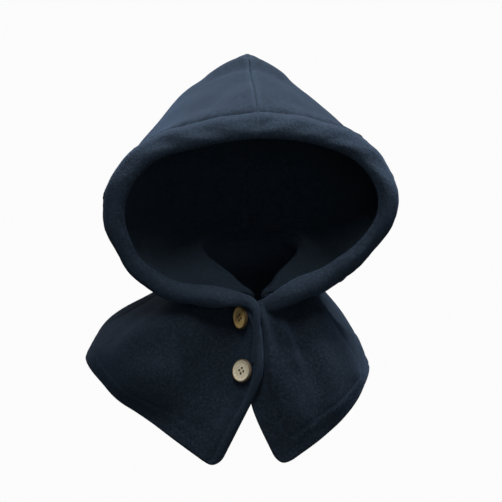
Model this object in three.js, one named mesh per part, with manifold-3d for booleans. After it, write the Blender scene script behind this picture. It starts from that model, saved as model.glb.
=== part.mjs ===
// A button-front fleece balaclava: a two-layer hood with a folded face band, sewn at a neck
// seam to a short flared cape that closes in front with two four-hole wooden buttons.
// Millimetres, +Z up, -Y in front of the wearer, +X on the wearer's left. The origin is the
// centre of the neck ring.
import * as THREE from 'three';
import { mergeVertices } from 'three/addons/utils/BufferGeometryUtils.js';
import Module from 'manifold-3d';

// Overall sizes. The shape nets below are drawn at the DRAWN sizes and stretched to these.
const HOOD_WIDTH = 268;
const HOOD_DEPTH = 186;
const HOOD_HEIGHT = 201;
const CAPE_WIDTH = 266;
const CAPE_DEPTH = 226;
const CAPE_DROP = 190;
const DRAWN = {
  hoodWidth: 268, hoodDepth: 186, hoodHeight: 201, capeWidth: 266, capeDepth: 226, capeDrop: 190,
};

// Cloth and seams.
const FLEECE = 2.2;               // one layer of fleece, pressed
const FACING = 1.6;               // turned-in edge or facing, pressed
const LAYER_GAP = 0.7;            // clearance between layers that lie on each other
const HEM_GAP = 1.4;              // the turned-in hem stands off a little where it rolls
const SEAM_GAP = 0.6;             // clearance across a sewn seam
const BAND_SEAM_GAP = 3.5;        // clearance behind the folded face band
const BAND_WIDTH = 24;            // folded face band, across
const BAND_PROUD = 4.2;           // the fold stands this far outside the hood surface
const BAND_SUNK = 3.4;            // and this far inside it
const HEM_WIDTH = 22;             // turned-in hem
const FACING_WIDTH = 34;          // front facing behind the buttons and buttonholes
const FACING_SET_BACK = 1.2;      // a facing stops this far inside the edge that it backs
const TIP_RADIUS = 15;            // rounding of the two front points
const UNDERLAP = 25;              // how far the under front passes behind the buttoned edge
const UNDERLAP_CLEARANCE = 2.6;   // room between the buttonholes and the under front
const HOOD_START = 0.3;           // net row where the hood cloth starts above the neck seam
const CAPE_START = 0.45;          // net row where the cape cloth starts below the neck seam
const NECK_TAPE_THICK = 2;
const NECK_TAPE_ABOVE = 4;
const NECK_TAPE_BELOW = 6;

// Buttons and their sewing.
const BUTTON_DIAMETER = 22;
const BUTTON_THICK = 3.4;
const BUTTON_RIM = 2.2;           // width of the raised rim
const BUTTON_DISH = 0.6;          // depth of the dished centre
const BUTTON_HOLE_RADIUS = 1.1;
const BUTTON_HOLE_SPREAD = 2.4;   // each hole's distance from the centre
const BUTTON_GAP = 0.7;           // underside of a button above the highest cloth under it
const BUTTON_FROM_EDGE = 18.5;    // button centre from the buttoned edge
const BUTTON_ROWS = [1.5, 3.04];  // net rows of the upper and the lower button
const THREAD_RADIUS = 0.65;
const THREAD_CLEARANCE = 0.35;
const SHANK_RADIUS = 1;
const SLIT_LENGTH = 20;
const SLIT_WIDTH = 2.6;
const SLIT_EDGE = 0.9;            // thickness of the stitching round a slit
const SLIT_CLEARANCE = 0.35;
const STAY_SIDE = 13;
const STAY_THICK = 1.2;
const STAY_GAP = 1.2;

// How far the under front's middle surface lies behind the buttoned one's.
const UNDERLAP_DEPTH = FLEECE + LAYER_GAP + FACING + SLIT_EDGE / 2 + UNDERLAP_CLEARANCE;

const NAVY = { color: 0x1b2635, roughness: 0.95, metalness: 0 };
const NAVY_DEEP = { color: 0x121a26, roughness: 0.95, metalness: 0 };
const NAVY_THREAD = { color: 0x101722, roughness: 0.8, metalness: 0 };
const WOOD = { color: 0xc9ad7c, roughness: 0.55, metalness: 0 };

// Shape nets: each row is drawn from the front edge back, [x, y, z]. Hood rows run from the neck
// seam up to the crown seam. Each starts on the rim of the face opening, passes the foot of the
// face band and ends on the back seam.
const HOOD_RIGHT = [
  [[0, -68, -16], [-16, -46, -9], [-24, -32, -4], [-46, 8, 7], [-42, 44, 13], [0, 62, 14]],
  [[-36, -72, -4], [-42, -78, -16], [-78, -36, -10], [-84, 8, -2], [-54, 60, 14], [0, 76, 20]],
  [[-80, -69, 3], [-86, -68, -10], [-112, -34, 4], [-104, 12, 16], [-68, 68, 30], [0, 90, 34]],
  [[-114, -62, 28], [-123, -51, 20], [-132, -30, 34], [-122, 14, 46], [-86, 70, 60], [0, 102, 68]],
  [[-124, -58, 72], [-138, -42, 74], [-137, -26, 78], [-122, 16, 82], [-86, 72, 100], [0, 106, 108]],
  [[-100, -63, 113], [-105, -46, 126], [-108, -24, 114], [-100, 20, 108], [-74, 66, 128], [0, 102, 138]],
  [[-52, -73, 131], [-54, -58, 150], [-57, -30, 152], [-60, 20, 152], [-46, 60, 157], [0, 94, 166]],
  [[0, -78, 139], [0, -63, 159], [0, -38, 168], [0, 20, 177], [0, 56, 183], [0, 80, 185]],
];
const HOOD_LEFT = [
  [[0, -68, -16], [15, -46, -9], [22, -32, -4], [44, 8, 7], [40, 44, 13], [0, 62, 14]],
  [[34, -72, 3], [36, -78, -13], [68, -36, -8], [74, 8, -2], [50, 60, 14], [0, 76, 20]],
  [[68, -68, 16], [68, -63, -5], [91, -34, 6], [94, 12, 16], [62, 68, 30], [0, 90, 34]],
  [[103, -60, 42], [107, -50, 24], [121, -30, 38], [112, 14, 46], [78, 70, 60], [0, 102, 68]],
  [[114, -57, 76], [127, -42, 76], [128, -26, 78], [117, 16, 82], [82, 72, 100], [0, 106, 108]],
  [[92, -62, 112], [98, -46, 126], [107, -24, 111], [98, 20, 108], [68, 66, 128], [0, 102, 138]],
  [[50, -72, 132], [53, -58, 150], [56, -30, 151], [58, 20, 150], [42, 60, 155], [0, 94, 166]],
  [[0, -78, 139], [0, -63, 159], [0, -38, 168], [0, 20, 177], [0, 56, 183], [0, 80, 185]],
];
// Cape columns run from the neck seam down to the hem. They go from the buttoned front edge
// round the wearer's right side and the back to the wearer's left side.
const CAPE_COLUMNS = [
  [[-8, -78, -22], [-6, -83, -29], [-1, -90, -46], [0, -97, -80], [-14, -98, -118], [-41, -97, -176]],
  [[-16, -54, -14], [-17, -58, -26], [-19, -65, -44], [-23, -76, -82], [-38, -86, -121], [-66, -90, -158]],
  [[-26, -32, -5], [-30, -42, -24], [-40, -60, -40], [-48, -75, -84], [-62, -85, -120], [-88, -80, -143]],
  [[-36, -12, 2], [-44, -28, -20], [-70, -64, -31], [-92, -82, -76], [-104, -78, -106], [-114, -60, -128]],
  [[-45, 8, 6], [-58, -2, -19], [-91, -34, -29], [-132, -42, -66], [-140, -40, -92], [-141, -30, -113]],
  [[-50, 26, 11], [-62, 28, -18], [-97, 24, -43], [-138, 18, -64], [-150, 14, -80], [-156, 10, -94]],
  [[-40, 48, 13], [-50, 58, -16], [-81, 78, -47], [-106, 92, -71], [-118, 98, -94], [-124, 100, -108]],
  [[0, 62, 14], [0, 78, -13], [0, 104, -34], [0, 120, -66], [0, 126, -92], [0, 128, -114]],
  [[40, 48, 13], [48, 58, -15], [66, 78, -42], [84, 92, -72], [92, 96, -94], [96, 96, -112]],
  [[48, 26, 11], [54, 28, -20], [68, 26, -52], [92, 16, -76], [104, 8, -92], [110, 2, -106]],
  [[42, 4, 6], [50, -6, -20], [64, -34, -36], [90, -44, -76], [100, -42, -100], [100, -40, -118]],
  [[34, -14, 1], [39, -30, -21], [50, -60, -36], [70, -76, -82], [78, -76, -112], [80, -68, -134]],
  [[26, -34, -5], [28, -48, -24], [33, -68, -42], [44, -82, -88], [52, -86, -124], [58, -84, -150]],
  [[14, -56, -14], [14, -66, -28], [16, -80, -46], [20, -90, -84], [30, -92, -126], [38, -90, -163]],
];
// Where the front points part below the lower button, the under front has its own edge.
const LEFT_FOLD_LOWER = [[10, -92, -122], [27, -93, -170]];
const LEFT_EDGE_LOWER = [[-6, -91, -120], [19, -94, -176]];
const RIGHT_SEAM_COLUMN = 5;
const LEFT_SEAM_COLUMN = 9;
const BACK_SEAM_COLUMN = 5;
const CROWN_ROW = HOOD_RIGHT.length - 1;
const HEM_ROW = CAPE_COLUMNS[0].length - 1;
const BUTTONED_NET_ROWS = [0, 1, 2, 3];

const wasm = await Module();
wasm.setup();

const hoodScale = new THREE.Vector3(
  HOOD_WIDTH / DRAWN.hoodWidth, HOOD_DEPTH / DRAWN.hoodDepth, HOOD_HEIGHT / DRAWN.hoodHeight);
const capeScale = new THREE.Vector3(
  CAPE_WIDTH / DRAWN.capeWidth, CAPE_DEPTH / DRAWN.capeDepth, CAPE_DROP / DRAWN.capeDrop);

/** A drawn net point at its real size. */
const hoodPoint = ([x, y, z]) => new THREE.Vector3(x, y, z).multiply(hoodScale);

/** A drawn cape point at its real size: the neck row follows the hood's neck seam. */
function capePoint([x, y, z], row) {
  const own = new THREE.Vector3(x, y, z).multiply(capeScale);
  const seam = hoodPoint([x, y, z]);
  return row === 0 ? seam : own.lerp(seam, Math.max(0, 0.5 - row / 2));
}

/** A smooth surface through a net of points, measured in whole rows and columns. */
class Net {
  constructor(columns) {
    this.columns = columns.map((points) => new THREE.CatmullRomCurve3(points, false, 'catmullrom', 0.5));
    this.rowSpan = columns[0].length - 1;
    this.columnSpan = columns.length - 1;
    this.rows = new Map();
  }

  row(r) {
    if (!this.rows.has(r)) {
      const across = this.columns.map((column) => column.getPoint(r / this.rowSpan));
      this.rows.set(r, new THREE.CatmullRomCurve3(across, false, 'catmullrom', 0.5));
    }
    return this.rows.get(r);
  }

  at(c, r) {
    return this.row(r).getPoint(c / this.columnSpan);
  }

  /** Outward normal, by small steps kept inside the four limits of a panel. */
  normal(c, r, limits) {
    const step = 0.04;
    const cc = THREE.MathUtils.clamp(c, limits.c0 + step, limits.c1 - step);
    const rr = THREE.MathUtils.clamp(r, limits.r0 + step, limits.r1 - step);
    const alongC = this.at(cc + step, rr).sub(this.at(cc - step, rr));
    const alongR = this.at(cc, rr + step).sub(this.at(cc, rr - step));
    return alongC.cross(alongR).normalize().multiplyScalar(limits.facing);
  }

  /** The column that lies a distance along row r from column c0, walking towards c1. */
  columnAt(distance, r, c0, c1) {
    const steps = 60;
    let walked = 0;
    let last = this.at(c0, r);
    for (let i = 1; i <= steps; i += 1) {
      const c = c0 + ((c1 - c0) * i) / steps;
      const here = this.at(c, r);
      const leg = here.distanceTo(last);
      if (walked + leg >= distance) {
        return c0 + ((c1 - c0) * (i - 1 + (distance - walked) / leg)) / steps;
      }
      walked += leg;
      last = here;
    }
    return c1;
  }

  /** The row that lies a distance up column c from the net's last row. */
  rowAbove(distance, c) {
    const steps = 60;
    let walked = 0;
    let last = this.at(c, this.rowSpan);
    for (let i = 1; i <= steps; i += 1) {
      const r = this.rowSpan * (1 - i / steps);
      const here = this.at(c, r);
      const leg = here.distanceTo(last);
      if (walked + leg >= distance) {
        return this.rowSpan * (1 - (i - 1 + (distance - walked) / leg) / steps);
      }
      walked += leg;
      last = here;
    }
    return 0;
  }
}

/** Triangles of a closed solid between two grids of points, its faces turned outwards. */
function slabGeometry(top, bottom) {
  const across = top.length;
  const along = top[0].length;
  const flat = [...top, ...bottom].flat();
  const index = [];
  const id = (layer, i, j) => (layer * across + i) * along + j;
  const quad = (a, b, c, d) => index.push(a, b, c, a, c, d);
  for (let i = 0; i + 1 < across; i += 1) {
    for (let j = 0; j + 1 < along; j += 1) {
      quad(id(0, i, j), id(0, i + 1, j), id(0, i + 1, j + 1), id(0, i, j + 1));
      quad(id(1, i, j), id(1, i, j + 1), id(1, i + 1, j + 1), id(1, i + 1, j));
    }
    quad(id(0, i + 1, 0), id(0, i, 0), id(1, i, 0), id(1, i + 1, 0));
    quad(id(0, i, along - 1), id(0, i + 1, along - 1), id(1, i + 1, along - 1), id(1, i, along - 1));
  }
  for (let j = 0; j + 1 < along; j += 1) {
    quad(id(0, 0, j), id(0, 0, j + 1), id(1, 0, j + 1), id(1, 0, j));
    quad(id(0, across - 1, j + 1), id(0, across - 1, j), id(1, across - 1, j), id(1, across - 1, j + 1));
  }
  const geometry = new THREE.BufferGeometry();
  geometry.setAttribute('position', new THREE.Float32BufferAttribute(flat.flatMap((p) => p.toArray()), 3));
  geometry.setIndex(index);
  return turnedOut(geometry);
}

/** Enclosed volume, negative when the faces point inwards. */
function signedVolume(geometry) {
  const position = geometry.getAttribute('position');
  const [a, b, c] = [new THREE.Vector3(), new THREE.Vector3(), new THREE.Vector3()];
  let volume = 0;
  for (let i = 0; i < geometry.index.count; i += 3) {
    a.fromBufferAttribute(position, geometry.index.getX(i));
    b.fromBufferAttribute(position, geometry.index.getX(i + 1));
    c.fromBufferAttribute(position, geometry.index.getX(i + 2));
    volume += a.dot(b.cross(c)) / 6;
  }
  return volume;
}

function turnedOut(geometry) {
  if (signedVolume(geometry) < 0) geometry.index.array.reverse();
  return geometry;
}

/** A cloth piece: a panel of a net, thickened from one offset to another along its normals. */
function clothGeometry({ net, limits, place, across, along, outer, inner, finish = (p) => p }) {
  const grid = (offset) => Array.from({ length: across + 1 }, (_, i) => Array.from(
    { length: along + 1 },
    (__, j) => {
      const [c, r] = place(i / across, j / along);
      const rise = typeof offset === 'function' ? offset(i / across, j / along) : offset;
      return finish(net.at(c, r).addScaledVector(net.normal(c, r, limits), rise));
    },
  ));
  return slabGeometry(grid(outer), grid(inner));
}

/** A manifold solid of a geometry, with its shared corners merged. */
function solidOf(geometry) {
  const bare = geometry.clone();
  bare.deleteAttribute('normal');
  bare.deleteAttribute('uv');
  const merged = mergeVertices(bare, 1e-4);
  return new wasm.Manifold(new wasm.Mesh({
    numProp: 3,
    vertProperties: new Float32Array(merged.getAttribute('position').array),
    triVerts: new Uint32Array(merged.index.array),
  }));
}

function geometryOf(solid) {
  const mesh = solid.getMesh();
  const geometry = new THREE.BufferGeometry();
  geometry.setAttribute('position', new THREE.BufferAttribute(mesh.vertProperties, 3));
  geometry.setIndex(new THREE.BufferAttribute(mesh.triVerts, 1));
  return geometry;
}

function piece(name, geometry, finish) {
  geometry.computeVertexNormals();
  const mesh = new THREE.Mesh(geometry, new THREE.MeshStandardMaterial(finish));
  mesh.name = name;
  return mesh;
}

// ---------------------------------------------------------------- hood

/** The hood net goes right rim, back seam, left rim, and its columns run on over the crown. */
function hoodNet() {
  const rights = HOOD_RIGHT[0].map((_, c) => HOOD_RIGHT.map((row) => hoodPoint(row[c])));
  const lefts = HOOD_LEFT[0].map((_, c) => HOOD_LEFT.map((row) => hoodPoint(row[c])));
  const over = (own, other) => [...own, other[CROWN_ROW - 1].clone(), other[CROWN_ROW - 2].clone()];
  const back = rights.length - 1;
  return new Net([
    ...rights.map((own, c) => over(own, lefts[c])),
    ...lefts.slice(0, back).reverse().map((own, i) => over(own, rights[back - 1 - i])),
  ]);
}

const hood = hoodNet();

/** One side of the hood: side is -1 on the wearer's right and 1 on the left. */
function hoodSide(side) {
  const rim = side < 0 ? 0 : hood.columnSpan;
  const limits = {
    c0: Math.min(rim, BACK_SEAM_COLUMN),
    c1: Math.max(rim, BACK_SEAM_COLUMN),
    r0: HOOD_START,
    r1: CROWN_ROW,
    facing: -1,
  };
  const clearOfSeam = (p) => {
    p.x = side < 0 ? Math.min(p.x, -SEAM_GAP / 2) : Math.max(p.x, SEAM_GAP / 2);
    return p;
  };
  const rowOf = (t) => THREE.MathUtils.lerp(HOOD_START, CROWN_ROW, t);
  const panelPlace = (s, t) => {
    const r = rowOf(t);
    const start = hood.columnAt(BAND_WIDTH + BAND_SEAM_GAP, r, rim, BACK_SEAM_COLUMN);
    return [THREE.MathUtils.lerp(start, BACK_SEAM_COLUMN, s), r];
  };
  const bandPlace = (s, t) => [hood.columnAt(BAND_WIDTH * s, rowOf(t), rim, BACK_SEAM_COLUMN), rowOf(t)];
  const roundFold = (height) => (s) => height * Math.sqrt(Math.max(0.12, 1 - (2 * s - 1) ** 4));
  const shared = { net: hood, limits, finish: clearOfSeam };
  const panel = { ...shared, place: panelPlace, across: 12, along: 15 };
  return {
    outer: clothGeometry({ ...panel, outer: LAYER_GAP / 2 + FLEECE, inner: LAYER_GAP / 2 }),
    lining: clothGeometry({ ...panel, outer: -LAYER_GAP / 2, inner: -LAYER_GAP / 2 - FLEECE }),
    band: clothGeometry({
      ...shared,
      place: bandPlace,
      across: 5,
      along: 26,
      outer: roundFold(BAND_PROUD),
      inner: roundFold(-BAND_SUNK),
    }),
  };
}

/** The tape that binds the neck seam inside, from one front edge round to the other. */
function neckTape() {
  const steps = 30;
  const front = 0.3;
  const ring = (inset, rise) => Array.from({ length: steps + 1 }, (_, i) => {
    const c = THREE.MathUtils.lerp(front, hood.columnSpan - front, i / steps);
    const along = hood.at(c + 0.02, 0).sub(hood.at(c - 0.02, 0));
    const inward = new THREE.Vector3(-along.y, along.x, 0).normalize().multiplyScalar(-inset);
    return hood.at(c, 0).add(inward).add(new THREE.Vector3(0, 0, rise));
  });
  const wall = (inset) => [ring(inset, -NECK_TAPE_BELOW), ring(inset, NECK_TAPE_ABOVE)];
  return slabGeometry(wall(NECK_TAPE_THICK), wall(0));
}

// ---------------------------------------------------------------- cape

/** The whole cape: the under front's last two columns lie behind the buttoned edge. */
function capeNet() {
  const columns = CAPE_COLUMNS.map((column) => column.map(capePoint));
  const right = new Net(columns);
  const limits = { c0: 0, c1: RIGHT_SEAM_COLUMN, r0: 0, r1: right.rowSpan, facing: 1 };
  const behind = (distance, r) => {
    const c = right.columnAt(distance, r, 0, RIGHT_SEAM_COLUMN);
    return right.at(c, r).addScaledVector(right.normal(c, r, limits), -UNDERLAP_DEPTH);
  };
  const underColumn = (distance, lower) => [
    ...BUTTONED_NET_ROWS.map((r) => behind(distance, r)),
    ...lower.map((p) => capePoint(p, HEM_ROW)),
  ];
  return new Net([...columns, underColumn(0, LEFT_FOLD_LOWER), underColumn(UNDERLAP, LEFT_EDGE_LOWER)]);
}

const cape = capeNet();
const EDGE_COLUMN = cape.columnSpan;
const capeLimits = (c0, c1) => ({
  c0: Math.min(c0, c1), c1: Math.max(c0, c1), r0: CAPE_START, r1: HEM_ROW, facing: 1,
});

/** Rounds the corner where a front edge meets the hem: a square corner is bent to an arc. */
function roundTip(c, r, edgeColumn, seamColumn) {
  const inward = Math.sign(seamColumn - edgeColumn);
  const perColumn = cape.at(edgeColumn, r).distanceTo(cape.at(edgeColumn + inward, r));
  const perRow = cape.at(c, HEM_ROW).distanceTo(cape.at(c, HEM_ROW - 1));
  const fromEdge = Math.abs(c - edgeColumn) * perColumn;
  const fromHem = (HEM_ROW - r) * perRow;
  if (fromEdge >= TIP_RADIUS || fromHem >= TIP_RADIUS) return [c, r];
  const x = 1 - fromEdge / TIP_RADIUS;
  const y = 1 - fromHem / TIP_RADIUS;
  const bentX = TIP_RADIUS * (1 - x * Math.sqrt(1 - (y * y) / 2));
  const bentY = TIP_RADIUS * (1 - y * Math.sqrt(1 - (x * x) / 2));
  return [
    edgeColumn + (inward * bentX) / perColumn,
    HEM_ROW - bentY / perRow,
  ];
}

/** A front panel with its facing and hem; edge is its front edge column, seam its shoulder. */
function capeFront(edge, seam) {
  const limits = capeLimits(edge, seam);
  const towards = Math.sign(seam - edge);
  const seamStop = seam - towards * 0.012;
  const rowOf = (t) => CAPE_START + (HEM_ROW - CAPE_START) * t;
  const crowd = (s) => s ** 1.35;
  const place = (s, t) => roundTip(THREE.MathUtils.lerp(edge, seamStop, crowd(s)), rowOf(t), edge, seam);
  const insetEdge = (distance, r) => cape.columnAt(distance, r, edge, seam);
  const facingPlace = (s, t) => {
    const inset = THREE.MathUtils.lerp(FACING_SET_BACK, FACING_WIDTH, s);
    const foot = cape.rowAbove(HEM_WIDTH + 2 * SEAM_GAP, insetEdge(inset, HEM_ROW - 0.5));
    const r = THREE.MathUtils.lerp(CAPE_START, foot, t);
    return [insetEdge(inset, r), r];
  };
  const hemPlace = (s, t) => {
    const c = THREE.MathUtils.lerp(insetEdge(FACING_SET_BACK, HEM_ROW), seamStop, crowd(s));
    const rise = THREE.MathUtils.lerp(HEM_WIDTH, FACING_SET_BACK, t);
    return roundTip(c, cape.rowAbove(rise, c), edge, seam);
  };
  const shared = { net: cape, limits };
  const facingOuter = -FLEECE / 2 - LAYER_GAP;
  const hemOuter = -FLEECE / 2 - HEM_GAP;
  return {
    panel: clothGeometry({ ...shared, place, across: 15, along: 14, outer: FLEECE / 2, inner: -FLEECE / 2 }),
    facing: clothGeometry({
      ...shared, place: facingPlace, across: 4, along: 14, outer: facingOuter, inner: facingOuter - FACING,
    }),
    hem: clothGeometry({
      ...shared, place: hemPlace, across: 15, along: 3, outer: hemOuter, inner: hemOuter - FACING,
    }),
  };
}

function capeBack() {
  const limits = capeLimits(RIGHT_SEAM_COLUMN, LEFT_SEAM_COLUMN);
  const columnOf = (s) => THREE.MathUtils.lerp(RIGHT_SEAM_COLUMN + 0.012, LEFT_SEAM_COLUMN - 0.012, s);
  const shared = { net: cape, limits, across: 16 };
  const hemOuter = -FLEECE / 2 - HEM_GAP;
  return {
    panel: clothGeometry({
      ...shared,
      place: (s, t) => [columnOf(s), CAPE_START + (HEM_ROW - CAPE_START) * t],
      along: 10,
      outer: FLEECE / 2,
      inner: -FLEECE / 2,
    }),
    hem: clothGeometry({
      ...shared,
      place: (s, t) => [
        columnOf(s), cape.rowAbove(THREE.MathUtils.lerp(HEM_WIDTH, FACING_SET_BACK, t), columnOf(s)),
      ],
      along: 3,
      outer: hemOuter,
      inner: hemOuter - FACING,
    }),
  };
}

// ---------------------------------------------------------------- closure

/** Where a button sits: its centre on the cloth and a frame with +Z out of the cloth. */
function buttonSeat(row) {
  const c = cape.columnAt(BUTTON_FROM_EDGE, row, 0, RIGHT_SEAM_COLUMN);
  const out = cape.normal(c, row, capeLimits(0, RIGHT_SEAM_COLUMN));
  const up = new THREE.Vector3(0, 0, 1).addScaledVector(out, -out.z).normalize();
  const side = new THREE.Vector3().crossVectors(up, out);
  return new THREE.Matrix4().makeBasis(side, up, out).setPosition(cape.at(c, row));
}

/** How far a button's underside stands off its seat, to clear the highest cloth under it. */
function buttonLift(seat, row) {
  const toSeat = seat.clone().invert();
  const reach = BUTTON_DIAMETER / 2 + BUTTON_GAP;
  const rowReach = 0.9;
  const steps = 24;
  let highest = 0;
  for (let i = 0; i <= steps; i += 1) {
    const r = row + rowReach * ((2 * i) / steps - 1);
    for (let j = 0; j <= steps; j += 1) {
      const fromEdge = BUTTON_FROM_EDGE + reach * ((2 * j) / steps - 1);
      const c = cape.columnAt(fromEdge, r, 0, RIGHT_SEAM_COLUMN);
      const cloth = cape.at(c, r).applyMatrix4(toSeat);
      if (Math.hypot(cloth.x, cloth.y) <= reach) highest = Math.max(highest, cloth.z);
    }
  }
  return highest + FLEECE / 2 + BUTTON_GAP;
}

const cylinder = (radius, from, to, sides = 24) => new THREE.CylinderGeometry(
  radius, radius, to - from, sides).rotateX(Math.PI / 2).translate(0, 0, (from + to) / 2);

/** The four hole centres of a button, set as a diamond. */
const holeCentres = () => [0, 1, 2, 3].map((k) => [
  BUTTON_HOLE_SPREAD * Math.cos((k * Math.PI) / 2), BUTTON_HOLE_SPREAD * Math.sin((k * Math.PI) / 2)]);

/** A round button with a raised rim, a dished middle and four holes. */
function buttonGeometry(lift) {
  const radius = BUTTON_DIAMETER / 2;
  const top = lift + BUTTON_THICK;
  const dish = top - BUTTON_DISH;
  const profile = [
    [0, lift], [radius - 1.2, lift], [radius, lift + 1.2], [radius, top - 0.9],
    [radius - 0.9, top], [radius - BUTTON_RIM + 0.4, top], [radius - BUTTON_RIM - 0.6, dish], [0, dish],
  ].map(([x, z]) => new THREE.Vector2(x, z));
  const turned = new THREE.LatheGeometry(profile, 32).rotateX(Math.PI / 2);
  let solid = solidOf(turnedOut(mergedIndexed(turned)));
  holeCentres().forEach(([x, y]) => {
    const drill = cylinder(BUTTON_HOLE_RADIUS, lift - 1, top + 1, 12).translate(x, y, 0);
    solid = solid.subtract(solidOf(drill));
  });
  return geometryOf(solid);
}

/** A lathe's geometry with its doubled points merged, so that its faces share them. */
function mergedIndexed(geometry) {
  geometry.deleteAttribute('normal');
  geometry.deleteAttribute('uv');
  return mergeVertices(geometry, 1e-4);
}

/** Thread through the four holes, crossed on top, wound into one shank under the button. */
function threadGeometry(lift) {
  const under = lift - THREAD_CLEARANCE;
  const over = lift + BUTTON_THICK - BUTTON_DISH + THREAD_CLEARANCE;
  const gather = 0.6;
  const shankEnd = -UNDERLAP_DEPTH + FLEECE / 2 + 0.8;
  const reach = BUTTON_HOLE_SPREAD + THREAD_RADIUS;
  let solid = solidOf(cylinder(reach, under - gather, under, 16));
  solid = solid.add(solidOf(cylinder(SHANK_RADIUS, shankEnd, under - gather / 2, 12)));
  holeCentres().forEach(([x, y]) => {
    const strand = cylinder(THREAD_RADIUS, under - gather / 2, over + THREAD_RADIUS, 8);
    solid = solid.add(solidOf(strand.translate(x, y, 0)));
  });
  [0, Math.PI / 2].forEach((turn) => {
    const bar = new THREE.BoxGeometry(2 * reach, 2 * THREAD_RADIUS, 2 * THREAD_RADIUS);
    solid = solid.add(solidOf(bar.rotateZ(turn).translate(0, 0, over + THREAD_RADIUS)));
  });
  return geometryOf(solid);
}

/** An upright slot shape with round ends, drawn from one height to another. */
function slotGeometry(width, length, from, to) {
  const half = length / 2 - width / 2;
  const shape = new THREE.Shape()
    .absarc(0, half, width / 2, 0, Math.PI)
    .absarc(0, -half, width / 2, Math.PI, 2 * Math.PI);
  return new THREE.ExtrudeGeometry(shape, { depth: to - from, bevelEnabled: false, curveSegments: 8 })
    .translate(0, 0, from);
}

/** The buttonhole's stitched edge, a sleeve through the buttoned front and its facing. */
function stitchedEdge() {
  const low = -FLEECE / 2 - LAYER_GAP - FACING - SLIT_EDGE / 2;
  const high = FLEECE / 2 + SLIT_EDGE;
  const whole = slotGeometry(SLIT_WIDTH + 2 * SLIT_EDGE, SLIT_LENGTH + 2 * SLIT_EDGE, low, high);
  const slit = slotGeometry(SLIT_WIDTH, SLIT_LENGTH, low - 1, high + 1);
  return geometryOf(solidOf(mergedIndexed(whole)).subtract(solidOf(mergedIndexed(slit))));
}

function cutSlits(geometry, seats) {
  const clear = 2 * (SLIT_EDGE + SLIT_CLEARANCE);
  return geometryOf(seats.reduce((solid, seat) => {
    const slit = slotGeometry(SLIT_WIDTH + clear, SLIT_LENGTH + clear, -UNDERLAP_DEPTH, UNDERLAP_DEPTH);
    return solid.subtract(solidOf(mergedIndexed(slit).applyMatrix4(seat)));
  }, solidOf(geometry)));
}

/** The square of cloth that backs a button's sewing behind the under front. */
function stayGeometry() {
  const top = -UNDERLAP_DEPTH - FLEECE / 2 - LAYER_GAP - FACING - STAY_GAP;
  return new THREE.BoxGeometry(STAY_SIDE, STAY_SIDE, STAY_THICK).translate(0, 0, top - STAY_THICK / 2);
}

// ---------------------------------------------------------------- the assembly

const balaclava = new THREE.Group();
const hoodGroup = new THREE.Group();
const capeGroup = new THREE.Group();
const closureGroup = new THREE.Group();
balaclava.add(hoodGroup, capeGroup, closureGroup);

[['right', -1], ['left', 1]].forEach(([label, side]) => {
  const parts = hoodSide(side);
  hoodGroup.add(
    piece(`hood_outer_${label}`, parts.outer, NAVY),
    piece(`hood_lining_${label}`, parts.lining, NAVY_DEEP),
    piece(`face_band_${label}`, parts.band, NAVY),
  );
});

const seats = BUTTON_ROWS.map(buttonSeat);
const rightFront = capeFront(0, RIGHT_SEAM_COLUMN);
const leftFront = capeFront(EDGE_COLUMN, LEFT_SEAM_COLUMN);
const back = capeBack();
capeGroup.add(
  piece('neck_tape', neckTape(), NAVY_DEEP),
  piece('cape_front_right', cutSlits(rightFront.panel, seats), NAVY),
  piece('cape_front_left', leftFront.panel, NAVY),
  piece('cape_back', back.panel, NAVY),
  piece('front_facing_right', cutSlits(rightFront.facing, seats), NAVY_DEEP),
  piece('front_facing_left', leftFront.facing, NAVY_DEEP),
  piece('hem_right', rightFront.hem, NAVY_DEEP),
  piece('hem_left', leftFront.hem, NAVY_DEEP),
  piece('hem_back', back.hem, NAVY_DEEP),
);

['upper', 'lower'].forEach((label, i) => {
  const seated = (geometry) => geometry.applyMatrix4(seats[i]);
  const lift = buttonLift(seats[i], BUTTON_ROWS[i]);
  closureGroup.add(
    piece(`button_${label}`, seated(buttonGeometry(lift)), WOOD),
    piece(`button_thread_${label}`, seated(threadGeometry(lift)), NAVY_THREAD),
    piece(`buttonhole_${label}`, seated(stitchedEdge()), NAVY_THREAD),
    piece(`button_stay_${label}`, seated(stayGeometry()), NAVY_DEEP),
  );
});

export default balaclava;
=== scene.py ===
"""A button-front fleece balaclava: a two-layer hood with a thick folded face band, sewn at the
neck to a short flared cape that closes in front with two four-hole wooden buttons.

Metres, +Z up, -Y in front of the wearer, +X on the wearer's left. The origin is the centre of
the neck ring. Right and left are the wearer's.
"""
import logging
import math
from dataclasses import dataclass, field
from enum import Enum

import bpy
import numpy as np
from mathutils import Matrix, Vector


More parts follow.
